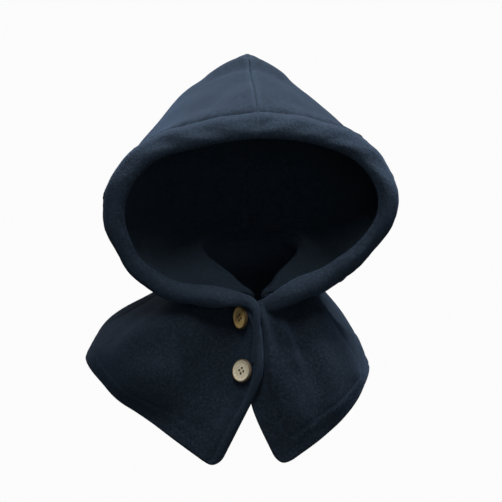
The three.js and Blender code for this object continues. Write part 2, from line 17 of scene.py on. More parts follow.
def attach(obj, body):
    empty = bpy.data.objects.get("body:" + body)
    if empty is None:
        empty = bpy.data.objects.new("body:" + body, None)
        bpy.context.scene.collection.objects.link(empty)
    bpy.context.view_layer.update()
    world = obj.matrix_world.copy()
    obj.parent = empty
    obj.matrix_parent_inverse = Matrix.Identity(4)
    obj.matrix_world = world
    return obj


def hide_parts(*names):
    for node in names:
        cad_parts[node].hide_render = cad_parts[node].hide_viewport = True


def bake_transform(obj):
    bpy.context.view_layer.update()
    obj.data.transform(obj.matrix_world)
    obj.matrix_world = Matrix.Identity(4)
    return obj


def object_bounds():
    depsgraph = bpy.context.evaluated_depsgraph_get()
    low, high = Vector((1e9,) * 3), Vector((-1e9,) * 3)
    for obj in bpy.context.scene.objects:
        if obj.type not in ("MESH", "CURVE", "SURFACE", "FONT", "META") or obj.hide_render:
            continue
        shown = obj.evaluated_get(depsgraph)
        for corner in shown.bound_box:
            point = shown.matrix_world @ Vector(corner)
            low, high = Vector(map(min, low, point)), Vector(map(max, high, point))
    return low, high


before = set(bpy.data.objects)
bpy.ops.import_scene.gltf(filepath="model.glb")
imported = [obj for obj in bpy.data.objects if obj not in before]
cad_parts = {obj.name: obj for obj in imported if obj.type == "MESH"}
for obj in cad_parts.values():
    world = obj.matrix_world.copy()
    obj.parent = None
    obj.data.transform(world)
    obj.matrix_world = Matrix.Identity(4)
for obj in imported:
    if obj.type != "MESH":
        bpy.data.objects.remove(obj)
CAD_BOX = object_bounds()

LOG = logging.getLogger("balaclava")
MM = 0.001
Grid = np.ndarray
Socket = bpy.types.NodeSocket
Piece = bpy.types.Object

# Shape nets in millimetres. Each hood row runs from the rim of the face opening past the foot of
# the band to the back seam, and the rows run from the neck seam up to the crown seam.
HOOD_RIGHT = [
    [[0, -68, -16], [-16, -46, -9], [-24, -32, -4], [-46, 8, 7], [-42, 44, 13], [0, 62, 14]],
    [[-36, -72, -4], [-42, -78, -16], [-78, -36, -10], [-84, 8, -2], [-54, 60, 14], [0, 76, 20]],
    [[-80, -69, 3], [-86, -68, -10], [-112, -34, 4], [-104, 12, 16], [-68, 68, 30], [0, 90, 34]],
    [[-114, -62, 28], [-123, -51, 20], [-132, -30, 34],
     [-122, 14, 46], [-86, 70, 60], [0, 102, 68]],
    [[-124, -58, 72], [-138, -42, 74], [-137, -26, 78],
     [-122, 16, 82], [-86, 72, 100], [0, 106, 108]],
    [[-100, -63, 113], [-105, -46, 126], [-108, -24, 114],
     [-100, 20, 108], [-74, 66, 128], [0, 102, 138]],
    [[-52, -73, 131], [-54, -58, 150], [-57, -30, 152],
     [-60, 20, 152], [-46, 60, 157], [0, 94, 166]],
    [[0, -78, 139], [0, -63, 159], [0, -38, 168], [0, 20, 177], [0, 56, 183], [0, 80, 185]],
]
HOOD_LEFT = [
    [[0, -68, -16], [15, -46, -9], [22, -32, -4], [44, 8, 7], [40, 44, 13], [0, 62, 14]],
    [[34, -72, 3], [36, -78, -13], [68, -36, -8], [74, 8, -2], [50, 60, 14], [0, 76, 20]],
    [[68, -68, 16], [68, -63, -5], [91, -34, 6], [94, 12, 16], [62, 68, 30], [0, 90, 34]],
    [[103, -60, 42], [107, -50, 24], [121, -30, 38], [112, 14, 46], [78, 70, 60], [0, 102, 68]],
    [[114, -57, 76], [127, -42, 76], [128, -26, 78], [117, 16, 82], [82, 72, 100], [0, 106, 108]],
    [[92, -62, 112], [98, -46, 126], [107, -24, 111], [98, 20, 108], [68, 66, 128], [0, 102, 138]],
    [[50, -72, 132], [53, -58, 150], [56, -30, 151], [58, 20, 150], [42, 60, 155], [0, 94, 166]],
    [[0, -78, 139], [0, -63, 159], [0, -38, 168], [0, 20, 177], [0, 56, 183], [0, 80, 185]],
]
# Cape columns run from the neck seam down to the hem, and go from the buttoned front edge round
# the wearer's right side and the back to the wearer's left side.
CAPE_COLUMNS = [
    [[-8, -78, -22], [-6, -83, -29], [-1, -90, -46],
     [0, -97, -80], [-14, -98, -118], [-41, -97, -176]],
    [[-16, -54, -14], [-17, -58, -26], [-19, -65, -44],
     [-23, -76, -82], [-38, -86, -121], [-66, -90, -158]],
    [[-26, -32, -5], [-30, -42, -24], [-40, -60, -40],
     [-48, -75, -84], [-62, -85, -120], [-88, -80, -143]],
    [[-36, -12, 2], [-44, -28, -20], [-70, -64, -31],
     [-92, -82, -76], [-104, -78, -106], [-114, -60, -128]],
    [[-45, 8, 6], [-58, -2, -19], [-91, -34, -29],
     [-132, -42, -66], [-140, -40, -92], [-141, -30, -113]],
    [[-50, 26, 11], [-62, 28, -18], [-97, 24, -43],
     [-138, 18, -64], [-150, 14, -80], [-156, 10, -94]],
    [[-40, 48, 13], [-50, 58, -16], [-81, 78, -47],
     [-106, 92, -71], [-118, 98, -94], [-124, 100, -108]],
    [[0, 62, 14], [0, 78, -13], [0, 104, -34], [0, 120, -66], [0, 126, -92], [0, 128, -114]],
    [[40, 48, 13], [48, 58, -15], [66, 78, -42], [84, 92, -72], [92, 96, -94], [96, 96, -112]],
    [[48, 26, 11], [54, 28, -20], [68, 26, -52], [92, 16, -76], [104, 8, -92], [110, 2, -106]],
    [[42, 4, 6], [50, -6, -20], [64, -34, -36], [90, -44, -76], [100, -42, -100], [100, -40, -118]],
    [[34, -14, 1], [39, -30, -21], [50, -60, -36],
     [70, -76, -82], [78, -76, -112], [80, -68, -134]],
    [[26, -34, -5], [28, -48, -24], [33, -68, -42],
     [44, -82, -88], [52, -86, -124], [58, -84, -150]],
    [[14, -56, -14], [14, -66, -28], [16, -80, -46],
     [20, -90, -84], [30, -92, -126], [38, -90, -163]],
]
# Where the front points part below the lower button, the under front has its own edge.
LEFT_FOLD_LOWER = [[10, -92, -122], [27, -93, -170]]
LEFT_EDGE_LOWER = [[-6, -91, -120], [19, -94, -176]]
# The face band runs on past the chin: the right half turns down along the buttoned edge, and the
# left half passes under it. Each row runs from the rim to the foot and on.
CHIN_RIGHT = [
    [[-1, -93, -72], [-21, -86, -72], [-40, -76, -66]],
    [[1, -88, -40], [-21, -81, -45], [-42, -66, -42]],
    [[-3, -80, -15], [-25, -79, -27], [-42, -60, -24]],
]
CHIN_LEFT = [
    [[-26, -58, -34], [-18, -54, -46], [-4, -46, -44]],
    [[-14, -63, -25], [-7, -60, -39], [8, -48, -36]],
    [[4, -69, -17], [8, -68, -33], [26, -52, -24]],
]
BUTTONED_ROWS = 4
RIGHT_SEAM_COLUMN = 5
LEFT_SEAM_COLUMN = 9
BACK_SEAM_COLUMN = 5
CROWN_ROW = len(HOOD_RIGHT) - 1
HEM_ROW = len(CAPE_COLUMNS[0]) - 1

# Cloth.
FLEECE = 2.2 * MM
FACING = 1.6 * MM
LAYER_GAP = 0.7 * MM
HEM_GAP = 1.4 * MM
BAND_WIDTH = 24 * MM
HEM_WIDTH = 22 * MM
FACING_WIDTH = 34 * MM
FACING_SET_BACK = 1.2 * MM
TIP_RADIUS = 15 * MM
UNDERLAP = 25 * MM
UNDERLAP_DEPTH = 7.55 * MM


class Side(Enum):
    """The wearer's right or left, as the sign of x."""

    RIGHT = -1
    LEFT = 1

    @property
    def label(self) -> str:
        """The word used in node names."""
        return self.name.lower()


# ------------------------------------------------------------------------------ surfaces


def spline_weights(t: Grid) -> Grid:
    """Weights of four points for a smooth curve through the middle two.

    Args:
        t: how far along, from 0 at the second point to 1 at the third.

    Returns:
        An array with one more axis, of the four weights.
    """
    squared, cubed = t * t, t * t * t
    return 0.5 * np.stack(
        [2 * squared - t - cubed, 2 - 5 * squared + 3 * cubed,
         t + 4 * squared - 3 * cubed, cubed - squared],
        axis=-1,
    )


def with_mirrored_ends(points: Grid, axis: int) -> Grid:
    """Adds a point before the first and after the last, each mirrored through its end."""
    turned = np.moveaxis(points, axis, 0)
    first, last = 2 * turned[:1] - turned[1:2], 2 * turned[-1:] - turned[-2:-1]
    return np.moveaxis(np.concatenate([first, turned, last]), 0, axis)


@dataclass
class ShapeNet:
    """A smooth surface through a net of points, measured in whole columns and rows."""

    points: Grid
    facing: int
    padded: Grid = field(init=False)

    def __post_init__(self) -> None:
        """Keeps the net with its mirrored ends, which the end stretches need."""
        self.padded = with_mirrored_ends(with_mirrored_ends(self.points, 0), 1)

    @property
    def column_span(self) -> int:
        """The last column's number."""
        return self.points.shape[0] - 1

    @property
    def row_span(self) -> int:
        """The last row's number."""
        return self.points.shape[1] - 1

    def at(self, c: Grid, r: Grid) -> Grid:
        """Points of the surface: four columns' weights times four rows' weights times the net.

        Args:
            c: columns.
            r: rows, of the same shape.

        Returns:
            Points, with one more axis.
        """
        column = np.clip(np.floor(c), 0, self.column_span - 1).astype(int)
        row = np.clip(np.floor(r), 0, self.row_span - 1).astype(int)
        near = np.arange(4)
        columns, rows = column[..., None] + near, row[..., None] + near
        block = self.padded[columns[..., :, None], rows[..., None, :]]
        weights = spline_weights(c - column), spline_weights(r - row)
        return np.einsum("...i,...j,...ijk->...k", *weights, block)

    def normal(
        self, c: Grid, r: Grid, first: float = 0, last: float = math.inf, top: float = math.inf
    ) -> Grid:
        """Outward unit normals: the cross product of a small step each way, kept on one panel.

        Args:
            c: columns.
            r: rows, of the same shape.
            first: the panel's lowest column.
            last: its highest column.
            top: its highest row.

        Returns:
            Unit vectors, with one more axis.
        """
        step = 0.03
        cc = np.clip(c, first + step, min(last, self.column_span) - step)
        rr = np.clip(r, step, min(top, self.row_span) - step)
        along_c = self.at(cc + step, rr) - self.at(cc - step, rr)
        along_r = self.at(cc, rr + step) - self.at(cc, rr - step)
        out = self.facing * np.cross(along_c, along_r)
        return out / np.linalg.norm(out, axis=-1, keepdims=True)

    def columns_at(self, distances: Grid, rows: Grid, start: float, towards: float) -> Grid:
        """The column that lies each distance along each row, walking from one column to another.

        Args:
            distances: distances walked, one for each line of the grid.
            rows: rows to walk along.
            start: column where the walk starts.
            towards: column where it ends at the latest.

        Returns:
            A grid of columns, distances by rows.
        """
        walk = np.linspace(start, towards, 241)
        c, r = np.meshgrid(walk, rows, indexing="ij")
        walked = travelled(self.at(c, r), axis=0)
        found = [np.interp(distances, walked[:, j], walk) for j in range(len(rows))]
        return np.stack(found, axis=1)

    def column_at(self, distance: float, row: float, first: int, last: int) -> Grid:
        """The column at one distance along one row, as a grid of one."""
        return self.columns_at(np.array([distance]), np.array([row]), first, last)

    def rows_above(self, distances: Grid, columns: Grid) -> Grid:
        """The row that lies each distance up each column from the last row.

        Args:
            distances: distances up from the last row.
            columns: columns to walk up.

        Returns:
            A grid of rows, columns by distances.
        """
        walk = np.linspace(self.row_span, 0, 241)
        c, r = np.meshgrid(columns, walk, indexing="ij")
        walked = travelled(self.at(c, r), axis=1)
        found = [np.interp(distances, walked[i], walk) for i in range(len(columns))]
        return np.stack(found, axis=0)


def travelled(points: Grid, axis: int) -> Grid:
    """Distance walked along one axis of a grid of points, starting from 0."""
    legs = np.linalg.norm(np.diff(points, axis=axis), axis=-1)
    start = np.zeros_like(np.take(legs, [0], axis=axis))
    return np.concatenate([start, np.cumsum(legs, axis=axis)], axis=axis)


def fractions(length: float, step: float, edge: float = 3.6 * MM, edge_steps: int = 6) -> Grid:
    """Shares of a length for a grid: even steps, with closer ones that round off both ends.

    Args:
        length: the length that is divided.
        step: the even step.
        edge: how far the closer steps reach.
        edge_steps: how many closer steps there are at each end.

    Returns:
        Rising numbers from 0 to 1.
    """
    close = edge * (np.arange(edge_steps) / edge_steps) ** 2
    middle = np.linspace(edge, length - edge, max(2, round((length - 2 * edge) / step) + 1))
    return np.concatenate([close, middle, length - close[::-1]]) / length


@dataclass
class EdgeDistances:
    """How far each point of a grid lies from its four edges."""

    from_first: Grid
    from_last: Grid
    from_low: Grid
    from_high: Grid

    @classmethod
    def of(cls, points: Grid) -> "EdgeDistances":
        """Measures a grid of points along both of its axes."""
        across, along = travelled(points, 0), travelled(points, 1)
        return cls(across, across[-1:] - across, along, along[:, -1:] - along)

    @property
    def nearest(self) -> Grid:
        """How far each point lies from whichever edge is nearest."""
        return np.minimum.reduce([self.from_first, self.from_last, self.from_low, self.from_high])


def bump(distance: Grid, width: float) -> Grid:
    """1 at the line and falling to 0 past it: e to the minus square of distance over width."""
    return np.exp(-((distance / width) ** 2))


def smooth_step(value: Grid, low: float, high: float) -> Grid:
    """0 below low, 1 above high, and a smooth rise between."""
    t = np.clip((value - low) / (high - low), 0, 1)
    return t * t * (3 - 2 * t)


def rounded(distance: Grid, radius: float) -> Grid:
    """Share of the full thickness near an edge: a quarter circle of that radius."""
    return np.sqrt(np.clip(1 - (1 - np.clip(distance / radius, 0, 1)) ** 2, 0, 1))


@dataclass(frozen=True)
class Fold:
    """A soft ridge, or a valley where the height is negative, along a line between two points."""

    start: tuple[float, float, float]
    end: tuple[float, float, float]
    width: float
    height: float

    def rise(self, points: Grid) -> Grid:
        """Height of the fold at each point: a bump over the distance to the line.

        Args:
            points: where it is wanted.

        Returns:
            Heights in metres.
        """
        start, end = MM * np.array(self.start), MM * np.array(self.end)
        way = end - start
        share = np.clip((points - start) @ way / (way @ way), 0, 1)
        distance = np.linalg.norm(points - start - share[..., None] * way, axis=-1)
        return self.height * MM * bump(distance, self.width * MM)


def undulation(points: Grid, height: float, seed: int) -> Grid:
    """The slow unevenness of hanging cloth: a sum of six sine waves of 45 to 120 mm.

    Args:
        points: where it is wanted.
        height: the height of one wave.
        seed: which set of waves.

    Returns:
        Heights in metres.
    """
    draw = np.random.default_rng(seed)
    total = np.zeros(points.shape[:-1])
    for _ in range(6):
        way = draw.normal(size=3)
        way /= np.linalg.norm(way)
        turn = 2 * math.pi / draw.uniform(45 * MM, 120 * MM)
        total += height * np.sin(points @ way * turn + draw.uniform(0, 2 * math.pi))
    return total


def relief(points: Grid, folds: tuple[Fold, ...], height: float, seed: int) -> Grid:
    """Height of a cloth's folds and slow unevenness: every fold's rise and an undulation."""
    return sum(fold.rise(points) for fold in folds) + undulation(points, height, seed)


def puckers(along: Grid, seed: int) -> Grid:
    """Small gathers along a sewn seam: the product of two sine waves of about 11 and 27 mm."""
    shift = np.random.default_rng(seed).uniform(0, 2 * math.pi, 2)
    short = np.sin(2 * math.pi * along / (11 * MM) + shift[0])
    return 0.5 * (1 + short) * (0.6 + 0.4 * np.sin(2 * math.pi * along / (27 * MM) + shift[1]))


# ------------------------------------------------------------------------------ finishes


@dataclass
class NodeSheet:
    """A small helper that adds and links the nodes of one material."""

    material: bpy.types.Material

    @classmethod
    def blank(cls, name: str) -> "NodeSheet":
        """A new material with no nodes in it."""
        material = bpy.data.materials.new(name)
        material.use_nodes = True
        material.node_tree.nodes.clear()
        return cls(material)

    def add(self, kind: str, **settings: object) -> bpy.types.Node:
        """Adds a node.

        Args:
            kind: the node's type name.
            settings: its attributes, or its input values under the inputs' names.

        Returns:
            The node.
        """
        node = self.material.node_tree.nodes.new(kind)
        for name, value in settings.items():
            label = name.replace("_", " ")
            if label in node.inputs.keys():
                node.inputs[label].default_value = value
            else:
                setattr(node, name, value)
        return node

    def link(self, source: Socket, target: Socket) -> None:
        """Joins an output to an input."""
        self.material.node_tree.links.new(source, target)

    def noise(self, where: Socket, scale: float, detail: float, rough: float) -> Socket:
        """A noise pattern's value, from 0 to 1.

        Args:
            where: the coordinates it reads.
            scale: how many features there are in a metre.
            detail: how many finer layers it has.
            rough: how strong the finer layers are.

        Returns:
            The value's socket.
        """
        node = self.add("ShaderNodeTexNoise", Scale=scale, Detail=detail, Roughness=rough)
        self.link(where, node.inputs["Vector"])
        return node.outputs["Fac"]

    def spread(self, value: Socket, lows: tuple, highs: tuple) -> Socket:
        """Carries a value from one range to another, held inside it.

        Args:
            value: the socket to read.
            lows: the source's low end and what it becomes.
            highs: the source's high end and what it becomes.

        Returns:
            The new value's socket.
        """
        node = self.add("ShaderNodeMapRange", interpolation_type="SMOOTHSTEP")
        for name, number in zip(("From Min", "To Min", "From Max", "To Max"), (*lows, *highs)):
            node.inputs[name].default_value = number
        self.link(value, node.inputs["Value"])
        return node.outputs["Result"]

    def mix(self, share: Socket, first: object, second: object) -> Socket:
        """Mixes two colours.

        Args:
            share: how much of the second there is.
            first: a colour or a socket.
            second: a colour or a socket.

        Returns:
            The mixed colour's socket.
        """
        node = self.add("ShaderNodeMix", data_type="RGBA")
        self.link(share, node.inputs["Factor"])
        for socket, value in ((node.inputs[6], first), (node.inputs[7], second)):
            if isinstance(value, Socket):
                self.link(value, socket)
            else:
                socket.default_value = (*value, 1)
        return node.outputs[2]

    def bumps(self, height: Socket, depth: float, under: object = None) -> Socket:
        """Normals of a bumpy surface.

        Args:
            height: a pattern from 0 to 1.
            depth: how deep it is, in metres.
            under: a coarser bump that this one lies on.

        Returns:
            The normal's socket.
        """
        node = self.add("ShaderNodeBump", Strength=1, Distance=depth)
        self.link(height, node.inputs["Height"])
        if under is not None:
            self.link(under, node.inputs["Normal"])
        return node.outputs["Normal"]

    def attribute(self, name: str) -> Socket:
        """The value of one of the mesh's own attributes."""
        return self.add("ShaderNodeAttribute", attribute_name=name).outputs["Fac"]

    def surface(
        self, colour: Socket, roughness: Socket, normal: Socket, fixed: dict[str, object]
    ) -> bpy.types.Material:
        """A surface joined to the output, with its even values on the shader's own sockets.

        Args:
            colour: its colour.
            roughness: its roughness.
            normal: its bumpy normal.
            fixed: the values that are the same all over it, by the names of their sockets.

        Returns:
            The finished material.
        """
        shader = self.add("ShaderNodeBsdfPrincipled")
        for name, value in fixed.items():
            shader.inputs[name].default_value = value
        for name, socket in (("Base Color", colour), ("Roughness", roughness), ("Normal", normal)):
            self.link(socket, shader.inputs[name])
        self.link(shader.outputs["BSDF"], self.add("ShaderNodeOutputMaterial").inputs["Surface"])
        return self.material


@dataclass(frozen=True)
class Fleece:
    """Brushed fleece: a short dense pile, mottled where the pile lies different ways."""

    name: str
    colour: tuple[float, float, float]
    pale: tuple[float, float, float]
    sheen: float
    sheen_tint: tuple[float, float, float]
    pile_depth: float = 0.36 * MM

    @property
    def slot(self) -> str:
        """The record's material slot, which is called as the finish is."""
        return self.name

    def material(self) -> bpy.types.Material:
        """Pile colour from two mottling noises, paled by a per-point attribute that holds both edge
        wear and painted highlights, with pile and lint bumps.
        """
        sheet = NodeSheet.blank(self.name)
        where = sheet.add("ShaderNodeTexCoord").outputs["Object"]
        clouds = sheet.noise(where, 90, 3, 0.6)
        tufts = sheet.noise(where, 420, 4, 0.65)
        fibres = sheet.noise(where, 1500, 3, 0.7)
        deep = tuple(0.78 * part for part in self.colour)
        cloudy = sheet.mix(sheet.spread(clouds, (0.34, 0), (0.66, 1)), deep, self.colour)
        tufted = sheet.mix(sheet.spread(tufts, (0.42, 0), (0.70, 0.9)), cloudy, self.pale)
        # Paling by the attribute: real wear on the cape's edges, and painted highlights beside the
        # hood's crown seam and along the face band's roll.
        wear_and_highlight_share = sheet.spread(sheet.attribute("wear_and_highlight"), (0, 0), (1, 0.45))
        rubbed_and_lit = sheet.mix(wear_and_highlight_share, tufted, self.pale)
        dull = sheet.spread(tufts, (0.3, 0.86), (0.7, 1.0))
        pile = sheet.bumps(fibres, self.pile_depth, sheet.bumps(tufts, self.pile_depth * 2.2))
        return sheet.surface(rubbed_and_lit, dull, pile, {
            "Specular IOR Level": 0.12, "Sheen Weight": self.sheen,
            "Sheen Roughness": 0.55, "Sheen Tint": (*self.sheen_tint, 1)})


@dataclass(frozen=True)
class Wood:
    """A turned wooden button: fine long grain, a scorched rim, and hole walls painted near black as
    shade.
    """

    name: str
    pale: tuple[float, float, float]
    grain: tuple[float, float, float]
    scorched: tuple[float, float, float]
    grain_turn: tuple[float, float, float]
    slot: str = "button_wood"

    def material(self) -> bpy.types.Material:
        """Grain from noise drawn out along one direction, darkened at the rim, with painted shade
        on the holes' walls.
        """
        sheet = NodeSheet.blank(self.name)
        where = sheet.add("ShaderNodeTexCoord").outputs["Object"]
        drawn = sheet.add("ShaderNodeMapping", Rotation=self.grain_turn, Scale=(1.0, 1.0, 0.12))
        sheet.link(where, drawn.inputs["Vector"])
        grain = sheet.noise(drawn.outputs["Vector"], 900, 4, 0.62)
        pores = sheet.noise(drawn.outputs["Vector"], 2600, 2, 0.5)
        lined = sheet.mix(sheet.spread(grain, (0.38, 0), (0.68, 1)), self.pale, self.grain)
        pored = sheet.mix(sheet.spread(pores, (0.6, 0), (0.78, 0.6)), lined, self.scorched)
        scorch = sheet.spread(sheet.attribute("rim"), (0, 0), (1, 0.92))
        rimmed = sheet.mix(scorch, pored, self.scorched)
        # Painted shade: the holes' walls are coloured near black for the shade inside them.
        hole_shade = tuple(0.25 * part for part in self.scorched)
        hole_shaded = sheet.mix(sheet.attribute("hole"), rimmed, hole_shade)
        waxed = sheet.spread(grain, (0.3, 0.42), (0.7, 0.62))
        return sheet.surface(hole_shaded, waxed, sheet.bumps(grain, 0.12 * MM), {
            "Specular IOR Level": 0.4, "Coat Weight": 0.12, "Coat Roughness": 0.35})


@dataclass(frozen=True)
class Thread:
    """Twisted sewing thread, ribbed along its length."""

    name: str
    colour: tuple[float, float, float]
    pale: tuple[float, float, float]
    slot: str = "navy_thread"

    def material(self) -> bpy.types.Material:
        """Thread colour with a fine rib and a few pale fibres."""
        sheet = NodeSheet.blank(self.name)
        where = sheet.add("ShaderNodeTexCoord").outputs["Object"]
        ribs = sheet.noise(where, 3200, 2, 0.5)
        lint = sheet.noise(where, 800, 2, 0.6)
        lit = sheet.mix(sheet.spread(lint, (0.45, 0), (0.75, 0.7)), self.colour, self.pale)
        dull = sheet.spread(ribs, (0.3, 0.6), (0.7, 0.8))
        return sheet.surface(lit, dull, sheet.bumps(ribs, 0.1 * MM), {
            "Specular IOR Level": 0.3, "Sheen Weight": 0.15})


NAVY = (0.0138, 0.0200, 0.0290)
OUTER_FLEECE = Fleece("fleece_outer", NAVY, (0.026, 0.038, 0.056), 0.16, (0.36, 0.54, 0.88))
BAND_FLEECE = Fleece(
    "fleece_band", (0.013, 0.0205, 0.031), (0.032, 0.045, 0.065), 0.16, (0.36, 0.54, 0.88))
LINING_FLEECE = Fleece(
    "fleece_lining", (0.014, 0.0225, 0.032), (0.022, 0.034, 0.047), 0.12, (0.4, 0.55, 0.8))
FACING_FLEECE = Fleece(
    "fleece_facing", (0.010, 0.017, 0.026), (0.018, 0.028, 0.042), 0.11, (0.4, 0.55, 0.8))
# The upper button's wood is a darker, warmer copy of the lower's: painted shade for the shadow
# under the face band.
SHADED_UPPER_WOOD = Wood(
    "wood_upper_shaded", (0.86, 0.60, 0.24), (0.52, 0.30, 0.09), (0.05, 0.025, 0.010), (0.5, 0.2, 0.3))
LOWER_WOOD = Wood(
    "wood_lower", (0.98, 0.86, 0.64), (0.84, 0.68, 0.44), (0.08, 0.045, 0.02), (0.2, 0.5, 0.1))
NAVY_THREAD = Thread("thread_navy", (0.010, 0.017, 0.028), (0.03, 0.045, 0.07))
PALE_THREAD = Thread("thread_pale", (0.46, 0.36, 0.22), (0.62, 0.52, 0.36))


# ------------------------------------------------------------------------------ meshes


def facing_out(points: Grid, faces: list[Grid]) -> list[Grid]:
    """Turns the faces of a closed body outwards, by the sign of its volume.

    Args:
        points: its vertices.
        faces: its faces, in groups of one size each.

    Returns:
        The same faces, all turned if the volume was negative.
    """
    volume = 0.0
    for group in faces:
        for k in range(1, group.shape[1] - 1):
            a, b, c = (points[group[:, corner]] for corner in (0, k, k + 1))
            volume += float(np.einsum("ij,ij->", a, np.cross(b, c)))
    return faces if volume > 0 else [group[:, ::-1] for group in faces]


def mesh_object(name: str, points: Grid, faces: list[Grid], wear_and_highlight: Grid | None = None) -> Piece:
    """A smooth-shaded object from arrays.

    Args:
        name: the piece's name.
        points: its vertices, in metres.
        faces: its faces, in groups of one size each.
        wear_and_highlight: how far each vertex is paled, from 0 to 1, for edge wear and for painted
            highlights.

    Returns:
        The object, linked to the scene.
    """
    groups = facing_out(points, faces)
    corners = np.concatenate([group.ravel() for group in groups])
    sizes = np.concatenate([np.full(len(group), group.shape[1]) for group in groups])
    starts = np.concatenate([[0], np.cumsum(sizes)[:-1]])
    mesh = bpy.data.meshes.new(name)
    mesh.vertices.add(len(points))
    mesh.vertices.foreach_set("co", points.astype(np.float32).ravel())
    mesh.loops.add(len(corners))
    mesh.loops.foreach_set("vertex_index", corners.astype(np.int32))
    mesh.polygons.add(len(sizes))
    mesh.polygons.foreach_set("loop_start", starts.astype(np.int32))
    mesh.polygons.foreach_set("loop_total", sizes.astype(np.int32))
    mesh.update(calc_edges=True)
    mesh.polygons.foreach_set("use_smooth", np.ones(len(mesh.polygons), dtype=bool))
    # Stores the paling for edge wear and painted highlights that the fleece finish reads.
    attribute = mesh.attributes.new("wear_and_highlight", "FLOAT", "POINT")
    rubbed_and_lit = np.zeros(len(mesh.vertices)) if wear_and_highlight is None else wear_and_highlight
    attribute.data.foreach_set("value", rubbed_and_lit.astype(np.float32).ravel())
    piece = bpy.data.objects.new(name, mesh)
    bpy.context.scene.collection.objects.link(piece)
    return piece


def grid_quads(first: Grid) -> Grid:
    """Faces between neighbouring points of a grid of vertex numbers."""
    corners = [first[:-1, :-1], first[1:, :-1], first[1:, 1:], first[:-1, 1:]]
    return np.stack(corners, axis=-1).reshape(-1, 4)


@dataclass
class Layout:
    """A grid laid on a net: its points, their outward normals and how far its edges are."""

    base: Grid
    normals: Grid
    edges: EdgeDistances = field(init=False)

    def __post_init__(self) -> None:
        """Measures the grid."""
        self.edges = EdgeDistances.of(self.base)

    def raised(self, rise: Grid) -> Grid:
        """Its points moved along their normals."""
        return self.base + rise[..., None] * self.normals

    def panel(self, name: str, rise: Grid, thick: float, plump: Grid | float = 1) -> "Panel":
        """A cloth raised off the grid, with its edges rounded over half its thickness.

        Args:
            name: the piece's name.
            rise: how far each point moves out.
            thick: the cloth's thickness.
            plump: how many times as thick it is at each point.

        Returns:
            The cloth.
        """
        thickness = thick * plump * rounded(self.edges.nearest, 0.5 * thick)
        return Panel(name, self.raised(rise), self.normals, thickness)


@dataclass
class Panel:
    """A piece of cloth worked out on a grid: a middle surface, its normals and its thickness."""

    name: str
    middle: Grid
    normals: Grid
    thickness: Grid

    def build(self, wear_and_highlight: Grid | None = None) -> Piece:
        """The closed piece: half the thickness each side of the middle, joined round the edges.

        Args:
            wear_and_highlight: how far each point of the grid is paled, for edge wear and for
                painted highlights.

        Returns:
            The object.
        """
        half = 0.5 * self.thickness[..., None] * self.normals
        upper, lower = self.middle + half, self.middle - half
        count = upper[..., 0].size
        top = np.arange(count).reshape(upper.shape[:2])
        bottom = top.copy()
        inner = bottom[1:-1, 1:-1]
        bottom[1:-1, 1:-1] = count + np.arange(inner.size).reshape(inner.shape)
        quads = [grid_quads(top), grid_quads(bottom)[:, ::-1]]
        points = np.concatenate([upper.reshape(-1, 3), lower[1:-1, 1:-1].reshape(-1, 3)])
        rub_and_light = np.zeros(upper.shape[:2]) if wear_and_highlight is None else wear_and_highlight
        rubbed_and_lit = np.concatenate([rub_and_light.ravel(), rub_and_light[1:-1, 1:-1].ravel()])
        return mesh_object(f"{self.name}_cloth", points, quads, rubbed_and_lit)

    def surface_area(self) -> float:
        """The middle surface's area in square metres."""
        ways = np.diff(self.middle, axis=0)[:, :-1], np.diff(self.middle, axis=1)[:-1]
        return float(np.linalg.norm(np.cross(*ways), axis=-1).sum())

    def flat_size(self) -> tuple[float, float]:
        """The cut cloth's width and length: the longest stretch each way."""
        across, along = travelled(self.middle, 0)[-1], travelled(self.middle, 1)[:, -1]
        return float(across.max()), float(along.max())


def dress(piece: Piece, finish: bpy.types.Material) -> None:
    """Gives a piece one finish."""
    piece.data.materials.clear()
    piece.data.materials.append(finish)


@dataclass
class Wardrobe:
    """Makes each finish once, and fits pieces out with them."""

    made: dict[str, bpy.types.Material] = field(default_factory=dict)

    def take(self, finish: Fleece | Wood | Thread) -> bpy.types.Material:
        """The material of a finish."""
        if finish.name not in self.made:
            self.made[finish.name] = finish.material()
        return self.made[finish.name]

    def fit_out(
        self, piece: Piece, finish: Fleece | Wood | Thread, body: str | None, stands_for: str
    ) -> None:
        """Dresses a piece, ties it to its body and hides the design piece that it replaces.

        Args:
            piece: the finished object.
            finish: its finish.
            body: the body it rides on, or None, which bakes its place in and ties it to no body.
            stands_for: the design piece.
        """
        dress(piece, self.take(finish))
        finish.slot
        if body is None:
            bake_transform(piece)
        else:
            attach(piece, body)
        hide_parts(stands_for)


def declare_cloth(piece: Piece, panel: Panel) -> None:
    """Logs a panel's flat size and its area.

    Args:
        piece: the finished object.
        panel: the grid that it was built from.
    """
    width, length = panel.flat_size()
    area = min(max(panel.surface_area(), 0.31 * width * length), width * length)
    LOG.info("%s: cloth %.0f by %.0f mm, %.4f m2", piece.name, width / MM, length / MM, area)


def hang(
    wardrobe: Wardrobe, panel: Panel, finish: Fleece, body: str | None, wear_and_highlight: Grid | None = None
) -> None:
    """Args:
        wardrobe: where its material comes from.
        panel: the grid to build from.
        finish: its finish.
        body: the body it rides on, or None, which bakes its place in and ties it to no body.
        wear_and_highlight: how far each point is paled for edge wear and painted highlights, if at
            all.
    """
    piece = panel.build(wear_and_highlight)
    wardrobe.fit_out(piece, finish, body, panel.name)
    declare_cloth(piece, panel)


# ------------------------------------------------------------------------------ hood


